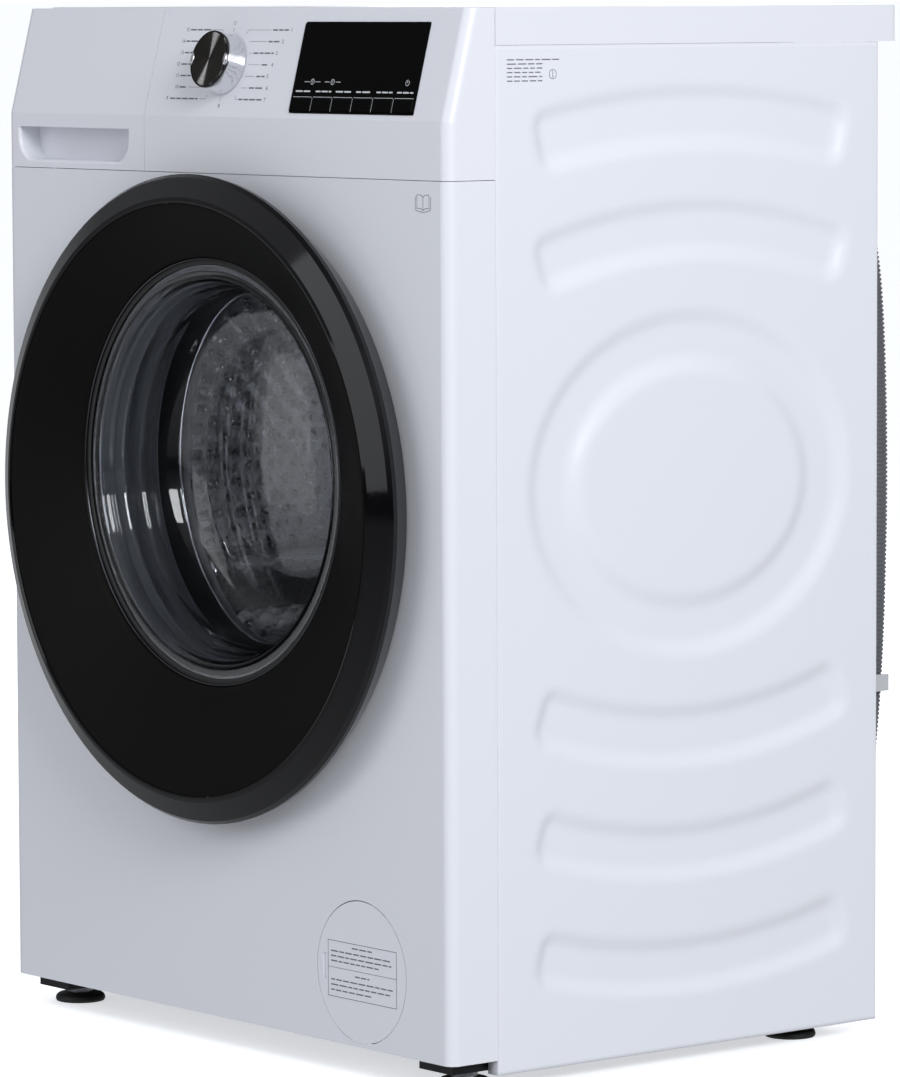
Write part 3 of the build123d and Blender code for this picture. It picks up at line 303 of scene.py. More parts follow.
def rounded(outline, radius, closed=True, steps=4):
    """An outline with each corner turned into a short curve of up to the given size."""
    points = [Vector(p) for p in outline]
    count = len(points)
    smooth = []
    for i, corner in enumerate(points):
        if not closed and i in (0, count - 1):
            smooth.append(tuple(corner))
            continue
        before, after = points[i - 1] - corner, points[(i + 1) % count] - corner
        start = corner + before.normalized() * min(radius, 0.45 * before.length)
        end = corner + after.normalized() * min(radius, 0.45 * after.length)
        for k in range(steps + 1):
            t = k / steps
            smooth.append(tuple(start * (1 - t) ** 2 + corner * 2 * t * (1 - t) + end * t * t))
    return smooth


def turned(name, outline, segments, closed=True):
    """A mesh turned about local Z from (radius, height) points."""
    verts = [(r * cos(a), r * sin(a), h) for a in angles(segments) for r, h in outline]
    return tidied(mesh_of(name, verts, weave(segments, len(outline), ring=closed, loop=True)))


def turned_piece(name, outline, segments, at, slot, body, material=None, closed=True):
    return local_piece(name, turned(name, outline, segments, closed), at, slot, body, material)


def about_drum(z=DRUM_Z, x=0.0):
    """Local Z runs backwards along a front-to-back axis, from the front panel's plane."""
    return Matrix.Translation((x, FRONT_Y, z)) @ Matrix.Rotation(-pi / 2, 4, "X")


def on_fascia(x=0.0, up=0.0, height=0.0):
    """Local X across, Y up the slope and Z out of the leaning fascia, from its bend."""
    lean = (Matrix.Translation((0, FRONT_Y, BEND_Z))
            @ Matrix.Rotation(pi / 2 - LEAN, 4, "X"))
    return lean @ Matrix.Translation((x, up, height))


def on_front(x, z, height=0.0):
    """Local X across, Y up and Z out of the front panel."""
    return Matrix.Translation((x, FRONT_Y - height, z)) @ Matrix.Rotation(pi / 2, 4, "X")


def on_rear(x, z, depth):
    """Local X to the left, Y up and Z out of the back."""
    return (Matrix.Translation((x, FRONT_Y + depth, z)) @ Matrix.Rotation(pi, 4, "Z")
            @ Matrix.Rotation(pi / 2, 4, "X"))


# ---- side panels: pressed sheets with softly rounded beads ----

BEAD_DEPTH = 0.006
BEAD_ENDS = (0.084, 0.422)
# Each bead's height at mid length, how far its ends drop, and its width.
BEADS = ((0.7618, 0.020, 0.0585), (0.6725, 0.0295, 0.055), (0.2655, -0.032, 0.057),
         (0.1722, -0.029, 0.0525), (0.0795, -0.024, 0.053))
RING_MID = (0.250, 0.4695)
RING_OUT, RING_IN = (0.1738, 0.1437), (0.1135, 0.0854)
SLOPE = 0.017
CORNER = 0.020
GRID = 0.0036  # the pressed sheets' mesh spacing


def bead_press(depth, z):
    """How far the curved beads are pressed in here, from 0 to 1."""
    middle = sum(BEAD_ENDS) / 2
    reach = (BEAD_ENDS[1] - BEAD_ENDS[0]) / 2
    most = 0.0
    for mid_z, drop, tall in BEADS:
        radius = (reach**2 + drop**2) / (2 * abs(drop))
        centre = mid_z - copysign(radius, drop)
        across = abs(hypot(depth - middle, z - centre) - radius)
        along = abs(atan2(depth - middle, abs(z - centre))) * radius
        over = max(0.0, along - (reach * 1.003 - CORNER)), max(0.0, across - (tall / 2 - CORNER))
        inside = CORNER - hypot(*over)
        if over == (0.0, 0.0):
            inside = CORNER + min(reach * 1.003 - CORNER - along, tall / 2 - CORNER - across)
        most = max(most, smoothstep(0.0, SLOPE, inside))
    return most


def ring_press(depth, z):
    """How far the oval ring is pressed in here, from 0 to 1."""
    dx, dz = depth - RING_MID[0], z - RING_MID[1]
    reach = hypot(dx, dz)
    if reach < 1e-6:
        return 0.0
    out, inner = (reach * (1 / hypot(dx / a, dz / b) - 1) for a, b in (RING_OUT, RING_IN))
    return smoothstep(0.0, SLOPE * 1.15, out) * smoothstep(0.0, SLOPE * 1.15, -inner)


def side_sheet(side):
    """A side panel: pressed beads, with rolled edges and short returns at front and back."""
    low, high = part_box(f"{side}_side_panel")
    sign = 1 if side == "right" else -1
    edge = 0.0022
    depth_from, depth_to = low.y - FRONT_Y, high.y - FRONT_Y
    rolled = [(edge * (1 - cos(a)), edge * (1 - sin(a)))
              for a in (0, 0.4, 0.8, 1.2, pi / 2)]
    span = depth_to - depth_from - 2 * edge
    count = round(span / GRID)
    across = [(depth_from, 0.013), (depth_from, 0.006)]
    across += [(depth_from + away, inset) for away, inset in rolled]
    across += [(depth_from + edge + span * i / count, 0.0) for i in range(1, count)]
    across += [(depth_to - away, inset) for away, inset in reversed(rolled)]
    across += [(depth_to, 0.006), (depth_to, 0.013)]
    rows = round((high.z - low.z) / GRID)
    verts = []
    for j in range(rows + 1):
        z = low.z + (high.z - low.z) * j / rows
        for depth, inset in across:
            press = inset
            if inset == 0:
                press = BEAD_DEPTH * max(bead_press(depth, z), ring_press(depth, z))
            verts.append((sign * (HALF - SHEET_INSET - press), FRONT_Y + depth, z))
    faces = weave(rows + 1, len(across), ring=False)
    if sign < 0:
        faces = [tuple(reversed(face)) for face in faces]
    name = f"{side}_side_sheet"
    piece = place(name, mesh_of(name, verts, faces), "white_enamel", "cabinet")
    thicken(piece, 0.0009, -1)
    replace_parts(piece, f"{side}_side_panel")


side_sheet("right")
side_sheet("left")


# ---- print ----

def strip(points, width, closed=False):
    """A flat ribbon along 2-D points, with rounded ends, as (verts, faces)."""
    points = [Vector(p) for p in points]
    half, count = width / 2, len(points)
    verts, faces = [], []
    for i, here in enumerate(points):
        way = Vector((0, 0))
        if closed or i:
            way += (here - points[i - 1]).normalized()
        if closed or i < count - 1:
            way += (points[(i + 1) % count] - here).normalized()
        way.normalize()
        side = Vector((-way.y, way.x)) * half
        verts += [here + side, here - side]
    for i in range(count if closed else count - 1):
        a, b = 2 * i, 2 * ((i + 1) % count)
        faces.append((a, a + 1, b + 1, b))
    if not closed:
        for end, inner, base in ((0, 1, 0), (count - 1, count - 2, 2 * (count - 1))):
            out = (points[end] - points[inner]).normalized()
            side = Vector((-out.y, out.x))
            first = len(verts)
            verts += [points[end] + side * half * cos(a) + out * half * sin(a)
                      for a in (pi / 4, pi / 2, 3 * pi / 4)]
            cap = (first, first + 1, first + 2)
            faces.append((base, *cap, base + 1) if end else (base + 1, *cap, base))
    return verts, faces


def circle_points(x, y, radius, count=24, start=0.0, sweep=2 * pi):
    full = abs(sweep - 2 * pi) < 1e-6
    steps = count if full else count - 1
    turns = [start + sweep * i / steps for i in range(count)]
    return [(x + radius * cos(a), y + radius * sin(a)) for a in turns]


def printed(name, strips, at, body="cabinet", ink="label_ink", slot="black_plastic"):
    """Print lying on a surface: flat ribbons with a real, very small thickness."""
    verts, faces = [], []
    for more_verts, more_faces in strips:
        start = len(verts)
        verts += [(v[0], v[1], 0.0) for v in more_verts]
        faces += [tuple(start + k for k in face) for face in more_faces]
    mesh = mesh_of(name, verts, faces)
    work = bmesh.new()
    work.from_mesh(mesh)
    bmesh.ops.reverse_faces(work, faces=[f for f in work.faces if f.normal.z < 0])
    work.to_mesh(mesh)
    work.free()
    thicken(local_piece(name, mesh, at, slot, body, ink, smooth=False), 0.00008, 1)


def word_bars(x_from, x_to, y, tall):
    """A label stood in for by a row of short bars, like words seen from afar."""
    bars, x = [], x_from
    while x < x_to - 0.002:
        long = min(RNG.uniform(0.004, 0.009), x_to - x)
        bars.append(strip([(x, y), (x + long, y)], tall))
        x += long + 0.0024
    return bars


def curve_mesh(curve):
    """The mesh that a curve or a text makes."""
    carrier = new_object(curve.name, curve)
    mesh = bpy.data.meshes.new_from_object(carrier)
    bpy.data.objects.remove(carrier)
    return mesh


# ---- door ----

FACE_R, WINDOW_R = 0.2406, 0.1742
FACE_THICK = 0.0024


def face_ring():
    """The matte ring, dished from the outer ring's lip down to the window's higher one."""
    # Share of the way inwards, and depth.
    profile = [(0.0, -0.0388), (0.006, -0.0392), (0.018, -0.0391), (0.045, -0.0386)]
    profile += [(t, -0.0386 + 0.0262 * ((t - 0.045) / 0.925) ** 1.12)
                for t in (0.045 + 0.925 * k / 14 for k in range(1, 15))]
    profile += [(0.985, -0.0115), (0.996, -0.0103), (1.0, -0.0085)]
    section = [(t, depth, 0.0) for t, depth in profile]
    section += [(t, depth + FACE_THICK, 0.0002) for t, depth in reversed(profile)]
    verts, segments = [], 192
    for a in angles(segments):
        for t, depth, inset in section:
            radius = FACE_R + (WINDOW_R - FACE_R) * t - inset
            z = DOOR_Z + (DRUM_Z - DOOR_Z) * t
            verts.append((radius * cos(a), FRONT_Y + depth, z + radius * sin(a)))
    mesh = mesh_of("door_face_moulding", verts, weave(segments, len(section), loop=True))
    piece = place("door_face_moulding", tidied(mesh), "charcoal_matte", "door")
    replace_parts(piece, "door_face_ring")


def window_trim():
    """The thin bright ring at the window's edge, and the darker seal behind it."""
    ring = rounded([(0.1744, -0.0102), (0.1735, -0.0108), (0.1727, -0.0100), (0.1728, -0.0082),
                    (0.1744, -0.0084)], 0.0004)
    turned_piece("window_trim_ring", ring, 192, about_drum(), "stainless", "door", "dark_chrome")
    seal = rounded([(0.1738, -0.0084), (0.1700, -0.0090), (0.1684, -0.0080), (0.1690, -0.0079),
                    (0.1738, -0.0079)], 0.0004)
    turned_piece("window_seal", seal, 192, about_drum(), "black_rubber", "door")


def glass_bowl():
    """The bowl: a stepped wall that draws in to a domed bottom, as one closed body of glass."""
    dome = [0.015 * k for k in range(7)]
    inside = [(r, 0.0785 - 0.284 * r * r) for r in dome]
    inside += [(0.116, 0.0728), (0.128, 0.068), (0.137, 0.0605), (0.1422, 0.0505),
               (0.1455, 0.042), (0.1462, 0.031), (0.1490, 0.027), (0.1500, 0.015),
               (0.1525, 0.010), (0.1535, 0.0), (0.1572, -0.0070), (0.162, -0.0077),
               (0.181, -0.0077)]
    outside = [(0.181, -0.0058), (0.163, -0.0058), (0.1600, -0.0030), (0.1590, 0.003),
               (0.1572, 0.006), (0.1568, 0.013), (0.1548, 0.017), (0.1540, 0.028),
               (0.1520, 0.033), (0.1508, 0.046), (0.1470, 0.055), (0.1420, 0.066),
               (0.1320, 0.0742), (0.118, 0.0790)]
    outside += [(r, 0.0840 - 0.222 * r * r) for r in reversed(dome)]
    outline = rounded(inside + outside, 0.004, closed=False, steps=3)
    piece = turned_piece("door_glass_bowl", outline, 192, about_drum(), "tinted_glass", "door",
                         closed=False)
    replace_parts(piece, "door_glass")


face_ring()
window_trim()
glass_bowl()


# ---- gasket, drum ----

def gasket():
    """The rubber bellows: a bead on the panel's collar, a lip for the glass, and two folds."""
    path = [(0.1660, 0.0022), (0.1655, 0.008), (0.1655, 0.013), (0.1676, 0.019), (0.1700, 0.025),
            (0.1748, 0.0285), (0.1762, 0.0315), (0.1752, 0.035), (0.1700, 0.0370),
            (0.1665, 0.0400), (0.1652, 0.0445), (0.1672, 0.0495), (0.1700, 0.0525),
            (0.1740, 0.0545), (0.1756, 0.0580), (0.1756, 0.064)]
    lip = [(0.1655, 0.012), (0.1630, 0.0140), (0.1600, 0.0170), (0.1582, 0.0196)]
    meshes = []
    for line, thick in ((path, 0.0011), (lip, 0.0009)):
        left, right = [], []
        for i, (r, d) in enumerate(line):
            before, after = Vector(line[max(0, i - 1)]), Vector(line[min(len(line) - 1, i + 1)])
            way = (after - before).normalized()
            left.append((r - way.y * thick, d + way.x * thick))
            right.append((r + way.y * thick, d - way.x * thick))
        meshes.append(turned("fold", rounded(left + right[::-1], 0.0009, steps=2), 144))
    piece = place("door_gasket_bellows", joined("door_gasket_bellows", meshes), "grey_rubber",
                  None)
    piece.data.transform(about_drum())
    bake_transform(piece)
    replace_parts(piece, "door_gasket")


DRUM_R, DRUM_FRONT, DRUM_BACK = 0.2345, 0.0986, 0.3505
BACK_FACE = 0.3470  # the plane of the back's punched zones
HOLE_R, PEARL_R, PEARL_RISE = 0.0017, 0.0042, 0.0013


def punched(name, around, deep, point_on, steel):
    """A sheet of cells that hold in turn a punched hole and a raised pearl, on a closed surface.

    point_on takes the share of a full turn, the share of the way along, a sideways and a
    lengthways shift in metres, and how far to rise, and gives a point.
    """
    corners = ((0, 0), (.5, 0), (1, 0), (1, .5), (1, 1), (.5, 1), (0, 1), (0, .5))
    turns = [radians(225 + 45 * k) for k in range(8)]
    verts, faces, index = [], [], {}

    def rim_point(i, j, u, v):
        key = (round(2 * (i + u)) % (2 * around), round(2 * (j + v)))
        if key not in index:
            index[key] = len(verts)
            verts.append(point_on((i + u) / around, (j + v) / deep, 0.0, 0.0, 0.0))
        return index[key]

    def ring_at(turn_share, along, radius, rise):
        first = len(verts)
        verts.extend(point_on(turn_share, along, radius * cos(t), radius * sin(t), rise)
                     for t in turns)
        return list(range(first, first + 8))

    def band(a, b):
        faces.extend((a[k], a[(k + 1) % 8], b[(k + 1) % 8], b[k]) for k in range(8))

    for i in range(around):
        for j in range(deep):
            middle = ((i + .5) / around, (j + .5) / deep)
            rim = [rim_point(i, j, u, v) for u, v in corners]
            if (i + j) % 2:
                ring = ring_at(*middle, HOLE_R, 0.0)
                band(ring, ring_at(*middle, HOLE_R, -0.0012))
            else:
                ring = ring_at(*middle, PEARL_R, 0.0)
                top = ring_at(*middle, PEARL_R * 0.55, PEARL_RISE * 0.8)
                band(ring, top)
                verts.append(point_on(*middle, 0.0, 0.0, PEARL_RISE))
                faces.extend((top[k], top[(k + 1) % 8], len(verts) - 1) for k in range(8))
            band(rim, ring)
    piece = place(name, tidied(mesh_of(name, verts, faces)), "stainless", "drum", steel)
    thicken(piece, 0.0006, 0)
    return piece


def perforated_drum():
    """The drum's wall, and two punched zones on its back."""
    def wall(turn_share, along, sideways, lengthways, rise):
        a = 2 * pi * turn_share + sideways / DRUM_R
        y = FRONT_Y + DRUM_FRONT + (DRUM_BACK - DRUM_FRONT) * along + lengthways
        r = DRUM_R - rise
        return (r * cos(a), y, DRUM_Z + r * sin(a))

    def back(inner, outer):
        def disc(turn_share, along, sideways, lengthways, rise):
            r = inner + (outer - inner) * along + lengthways
            a = 2 * pi * turn_share + sideways / r
            return (r * cos(a), FRONT_Y + BACK_FACE - rise, DRUM_Z + r * sin(a))
        return disc

    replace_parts(punched("drum_perforated_wall", 112, 20, wall, "drum_steel"), "drum_shell")
    punched("drum_back_outer_zone", 88, 6, back(0.150, 0.222), "drum_back_steel")
    punched("drum_back_inner_zone", 44, 4, back(0.070, 0.126), "drum_back_steel")


def drum_ends():
    """The rolled mouth with its front cone, and the back wall with pressed rings."""
    mouth = rounded([(0.1660, 0.094), (0.1660, 0.0845), (0.1700, 0.0842), (0.2210, 0.0842),
                     (0.2346, 0.0975), (0.2352, 0.0995), (0.2336, 0.0998), (0.2204, 0.0856),
                     (0.1705, 0.0856), (0.1676, 0.0862), (0.1676, 0.094)], 0.003)
    turned_piece("drum_mouth", mouth, 160, about_drum(), "stainless", "drum")
    rim = [(0.2345, 0.3505), (0.2300, 0.3470), (0.2220, BACK_FACE)]
    rib = [(0.1500, BACK_FACE), (0.1450, 0.3440), (0.1310, 0.3440), (0.1260, BACK_FACE)]
    hub = [(0.0700, BACK_FACE), (0.0650, 0.3430), (0.0500, 0.3412), (0.0300, 0.3425),
           (0.0, 0.3425)]
    meshes = []
    for front in (rim, rib, hub):
        back = [(r, d + 0.0009) for r, d in reversed(front)]
        meshes.append(turned("band", rounded(front + back, 0.003, steps=3), 160))
    local_piece("drum_back_bands", joined("drum_back_bands", meshes), about_drum(), "stainless",
                "drum", "drum_back_steel")


LIFTER_BASE = 0.2335  # the radius of the lifters' feet


def lifters():
    """Three moulded ridges with rounded crests and sloped ends."""
    section = [(-0.036, LIFTER_BASE), (-0.0300, 0.2270), (-0.0215, 0.2130), (-0.0150, 0.1990),
               (-0.0085, 0.1915), (0.0, 0.1893), (0.0085, 0.1915), (0.0150, 0.1990),
               (0.0215, 0.2130), (0.0300, 0.2270), (0.036, LIFTER_BASE)]
    # Depth of each station, and its share of the ridge's full height.
    stations = [(0.111, 0.45), (0.114, 0.80), (0.122, 0.96), (0.134, 1.0), (0.222, 1.03),
                (0.310, 1.0), (0.322, 0.96), (0.330, 0.80), (0.333, 0.45)]
    rings = [[(across * (0.8 + 0.2 * full), LIFTER_BASE - (LIFTER_BASE - reach) * full, depth)
              for across, reach in section] for depth, full in stations]
    # Local Y of the ridge points from the axis to 90, 210 and 330 degrees.
    turns = [Matrix.Rotation(radians(120 * k + 180), 4, "Z") for k in range(3)]
    piece = local_piece("drum_lifter_ridges",
                        joined("drum_lifter_ridges", [lofted("ridge", rings)] * 3, turns),
                        about_drum(), "stainless", "drum", "drum_steel")
    soften = piece.modifiers.new("soften", "SUBSURF")
    soften.levels = soften.render_levels = 2
    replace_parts(piece, "drum_lifters")


gasket()
perforated_drum()
drum_ends()
lifters()


# ---- programme knob ----

KNOB_UP = 0.0435


def knurled_edge(at):
    """The knob's black rim with its fine teeth."""
    steps = 96 * 4
    levels = [(0.0166, 0.98), (0.0169, 1.0), (0.0190, 1.0), (0.0196, 0.985), (0.0199, 0.955),
              (0.0196, 0.94), (0.0166, 0.94)]
    verts = []
    for i, a in enumerate(angles(steps)):
        for height, share in levels:
            groove = 0.00028 if i % 4 < 2 and share > 0.97 else 0.0
            r = 0.0236 * share - groove
            verts.append((r * cos(a), r * sin(a), height))
    mesh = mesh_of("knob_knurled_edge", verts, weave(steps, len(levels), loop=True))
    local_piece("knob_knurled_edge", tidied(mesh), at, "black_plastic", "knob", "black_gloss",
                smooth=False)


def knob_notches(at):
    """Two bright domed notches on the knob's face."""
    rings = [(0.3, 0.0200), (0.7, 0.01995), (0.95, 0.0197), (1.0, 0.0190), (0.9, 0.0172)]
    meshes, sides = [], 24
    for x in (-0.0218, 0.0218):
        verts = [(x, 0, 0.0200)]
        for share, height in rings:
            verts += [(x + 0.0021 * share * cos(a), 0.0056 * share * sin(a), height)
                      for a in angles(sides)]
        faces = [(0, 1 + k, 1 + (k + 1) % sides) for k in range(sides)]
        faces += [tuple(1 + v for v in face) for face in weave(len(rings), sides)]
        faces.append(tuple(range(len(verts) - sides, len(verts))))
        meshes.append(tidied(mesh_of("notch", verts, faces)))
    local_piece("knob_notches", joined("knob_notches", meshes), at, "knob_metal", "knob",
                "knob_chrome")


def knob():
    """The selector: a tapered satin body on its shaft, and a spun face with a painted highlight.
    """
    at = on_fascia(0, KNOB_UP)
    body = rounded([(0.0, 0.0006), (0.0247, 0.0006), (0.0254, 0.0012), (0.0251, 0.0028),
                    (0.0241, 0.0095), (0.0236, 0.0160), (0.0232, 0.0168), (0.0, 0.0168)], 0.0006)
    piece = turned_piece("knob_body", body, 128, at, "knob_metal", "knob", "knob_chrome")
    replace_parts(piece, "programme_knob")
    shaft = rounded([(0.0, -0.0155), (0.0034, -0.0155), (0.0039, -0.0150), (0.0039, 0.0008),
                     (0.0, 0.0008)], 0.0004)
    turned_piece("knob_shaft", shaft, 48, at, "black_plastic", "knob")
    knurled_edge(at)
    dish = rounded([(0.0, 0.0166), (0.0221, 0.0166), (0.0222, 0.0193), (0.0216, 0.0196),
                    (0.0120, 0.0192), (0.0, 0.0189)], 0.0003)
    turned_piece("knob_face", dish, 128, at, "knob_metal", "knob", "spun_metal")
    knob_notches(at)


knob()


# ---- fascia print and display ----

ROW = 0.0096  # spacing of the programme list's rows
# Each side's rows from the top: where the leader starts and ends, then the label's two ends.
RIGHT_ROWS = ((0.018, 0.050, 0.053, 0.073), (0.024, 0.047, 0.050, 0.064),
              (0.0275, 0.031, 0.033, 0.059), (0.0285, 0.044, 0.047, 0.056),
              (0.0275, 0.040, 0.043, 0.053), (0.0255, 0.033, 0.036, 0.055),
              (0.019, 0.023, 0.025, 0.055))
LEFT_ROWS = ((-0.013, -0.029, -0.031, -0.058), (-0.0235, -0.029, -0.031, -0.061),
             (-0.0275, -0.030, -0.032, -0.060), (-0.0285, -0.031, -0.033, -0.062),
             (-0.0275, -0.031, -0.033, -0.060), (-0.025, -0.046, -0.049, -0.058),
             (-0.018, -0.028, -0.031, -0.068))
HAIRLINE = 0.00032
KEY_MIDDLES = [sum(c[0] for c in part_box(f"key_{n}")) / 2 for n in range(1, 7)]
DISPLAY_RISE = 0.0008


def dial_numbers(entries):
    """Small raised numerals, each entry a text with its place on the fascia."""
    meshes, places = [], []
    for text, x, y in entries:
        curve = bpy.data.curves.new("digit", "FONT")
        curve.body = text
        curve.size = 0.0046
        curve.align_x, curve.align_y = "CENTER", "CENTER"
        curve.extrude = 0.00004
        meshes.append(curve_mesh(curve))
        places.append(Matrix.Translation((x, y, 0.00005)))
    local_piece("dial_numbers", joined("dial_numbers", meshes, places), on_fascia(),
                "black_plastic", "cabinet", "label_ink", smooth=False)


def dial_print():
    """Sixteen dial positions: leaders, stand-in labels, a ring and numerals for the icons."""
    lines, numbers = [], []
    for side, rows in ((1, RIGHT_ROWS), (-1, LEFT_ROWS)):
        for k, (start, end, *label) in enumerate(rows):
            y = KNOB_UP + ROW * (3 - k)
            inner = (start, y + {0: -0.0030, 6: 0.0030}.get(k, 0.0))
            lines.append(strip([inner, (start + side * 0.002, y), (end, y)], HAIRLINE))
            lines += word_bars(min(label), max(label), y, 0.00125)
            numbers.append((str(k + 1 if side > 0 else 15 - k), label[1] + side * 0.0045, y))
    for y, up in ((KNOB_UP + 0.0288, 1), (KNOB_UP - 0.0288, -1)):
        lines.append(strip([(0, y - up * 0.0015), (0, y + up * 0.0018)], HAIRLINE))
    lines.append(strip(circle_points(0, KNOB_UP + 0.0345, 0.0013), 0.00035, closed=True))
    numbers.append(("8", 0, KNOB_UP - 0.0345))
    printed("dial_print", lines, on_fascia())
    dial_numbers(numbers)


def display_print():
    """Lit icons and stand-in labels behind the dark window, and a light line above each key."""
    lines, y = [], 0.0300
    for x in (0.119, 0.145):
        lines += [strip([(x - 0.010, y), (x - 0.004, y)], 0.00045),
                  strip([(x + 0.004, y), (x + 0.010, y)], 0.00045),
                  strip(circle_points(x, y, 0.0021), 0.00045, closed=True),
                  strip([(x, 0.0292), (x, 0.0312)], 0.0004)]
    arc = circle_points(0.240, y, 0.0022, 16, radians(120), radians(300))
    lines += [strip(arc, 0.00045), strip([(0.240, y), (0.240, 0.0326)], 0.00045)]
    for x in KEY_MIDDLES:
        lines += word_bars(x - 0.0095, x + 0.0095, 0.0222, 0.0013)
        lines.append(strip([(x - 0.0118, 0.0176), (x + 0.0118, 0.0176)], 0.00035))
    for a, b in zip(KEY_MIDDLES, KEY_MIDDLES[1:]):
        lines.append(strip([((a + b) / 2, 0.0062), ((a + b) / 2, 0.0170)], 0.00035))
    printed("display_print", lines, on_fascia(height=DISPLAY_RISE), ink="display_ink",
            slot="white_plastic")


def key_cap(name, wide=0.0243, tall=0.0104, thick=0.0014, corner=0.0010, edge=0.0004):
    """A plate with rounded corners and softly rounded top edges, its back at local zero."""
    outline = [(cx * (wide / 2 - corner), cy * (tall / 2 - corner), cos(a), sin(a))
               for cx, cy, start in ((1, 1, 0), (-1, 1, 90), (-1, -1, 180), (1, -1, 270))
               for a in (radians(start + 15 * k) for k in range(7))]
    levels = [(0.0, 0.0), (thick - edge, 0.0)]
    levels += [(thick - edge * (1 - sin(a)), edge * (1 - cos(a)))
               for a in (radians(22.5 * k) for k in range(1, 5))]
    return lofted(name, [[(x + (corner - inset) * dx, y + (corner - inset) * dy, height)
                          for x, y, dx, dy in outline] for height, inset in levels])


def key_caps():
    for number, middle in enumerate(KEY_MIDDLES, start=1):
        name = f"key_cap_{number}"
        piece = local_piece(name, key_cap(name), on_fascia(middle, 0.01125), "black_plastic",
                            f"key_{number}", "display_black", smooth=False)
        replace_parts(piece, f"key_{number}")


NODES["display_window"].data.materials[0] = MATERIALS["display_black"]
dial_print()
display_print()
key_caps()


# ---- front panel and side details ----

FILTER_X, FILTER_Z = 0.1843, 0.0849
THIN = 0.0005


def filter_label():
    """The cover's label as a plain frame with a divider and stand-in bars."""
    left, right, low, high = -0.043, 0.045, -0.0235, 0.0215
    lines = [strip([(right - (right - left) * k / 30, high) for k in range(31)], THIN),
             strip([(left, low), (left, high)], THIN), strip([(right, low), (right, high)], THIN),
             strip([(left, low), (right, low)], THIN), strip([(left, 0), (right, 0)], 0.0004)]
    for y, start, end in ((0.0178, -0.012, 0.013), (0.0132, -0.039, 0.040),
                          (0.0092, -0.039, 0.038), (0.0052, -0.039, 0.022),
                          (-0.0046, -0.008, 0.010), (-0.0098, -0.039, 0.040),
                          (-0.0140, -0.039, 0.037), (-0.0182, -0.039, 0.012)):
        lines += word_bars(start, end, y, 0.0011)
    proud = FRONT_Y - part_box("filter_cover")[0].y
    printed("filter_label", lines, on_front(FILTER_X, FILTER_Z, proud), "flap")


def booklet_mark():
    """A small open-book pictogram on the front panel."""
    lines = [strip([(0, 0.0058), (0, -0.0045)], THIN)]
    for side in (-1, 1):
        cover = [(side * 0.0095, 0.006), (side * 0.0095, -0.0045), (0, -0.0060)]
        page = [(side * 0.0075, 0.0075), (side * 0.003, 0.0078), (0, 0.0058)]
        lines += [strip(rounded(curve, 0.002, closed=False), THIN) for curve in (cover, page)]
        lines += [strip([(side * 0.0075, 0.0075), (side * 0.0075, -0.0030)], THIN),
                  strip([(side * 0.0075, -0.0030), (side * 0.003, -0.0028), (0, -0.0045)], THIN)]
    printed("booklet_mark", lines, on_front(0.267, 0.697))


def side_label():
    """Stand-in bars for the small label high on the right side."""
    at = (Matrix.Translation((HALF - SHEET_INSET, FRONT_Y, 0))
          @ Matrix(((0, 0, 1, 0), (1, 0, 0, 0), (0, 1, 0, 0), (0, 0, 0, 1))))
    lines = []
    for k in range(6):
        lines += word_bars(0.060, 0.095 if k else 0.112, 0.8085 - 0.0033 * k, 0.0009)
    lines.append(strip(circle_points(0.106, 0.797, 0.0036), THIN, closed=True))
    lines.append(strip([(0.106, 0.7945), (0.106, 0.7995)], 0.0006))
    printed("side_label", lines, at)


rim = NODES["filter_cover"].modifiers.new("rim", "BEVEL")
rim.width = 0.0009
rim.segments = 3
filter_label()
booklet_mark()
side_label()


# ---- drain hose ----

HOSE_DEPTH, HOSE_R = 0.468, 0.012
HOSE_PITCH, HOSE_GROOVE, HOSE_CUFF = 0.0036, 0.0016, 0.032
# The route's corners in millimetres, (x, z), as in the CAD source.
HOSE_ROUTE = ((144, 105), (203, 105), (246, 147), (262, 215), (273, 318), (277, 440), (275, 560),
              (266, 655), (233, 728), (172, 768), (82, 781), (-12, 783), (-100, 768),
              (-170, 722), (-212, 655), (-233, 575), (-233, 500))


def route_line():
    """The route's smooth line, as points a little under a millimetre apart."""
    curve = bpy.data.curves.new("hose_line", "CURVE")
    curve.dimensions = "3D"
    spline = curve.splines.new("NURBS")
    spline.points.add(len(HOSE_ROUTE) - 1)
    for point, (x, z) in zip(spline.points, HOSE_ROUTE):
        point.co = (x / 1000, FRONT_Y + HOSE_DEPTH, z / 1000, 1)
    spline.order_u = 3
    spline.use_endpoint_u = True
    spline.resolution_u = 90
    return [v.co.copy() for v in curve_mesh(curve).vertices]


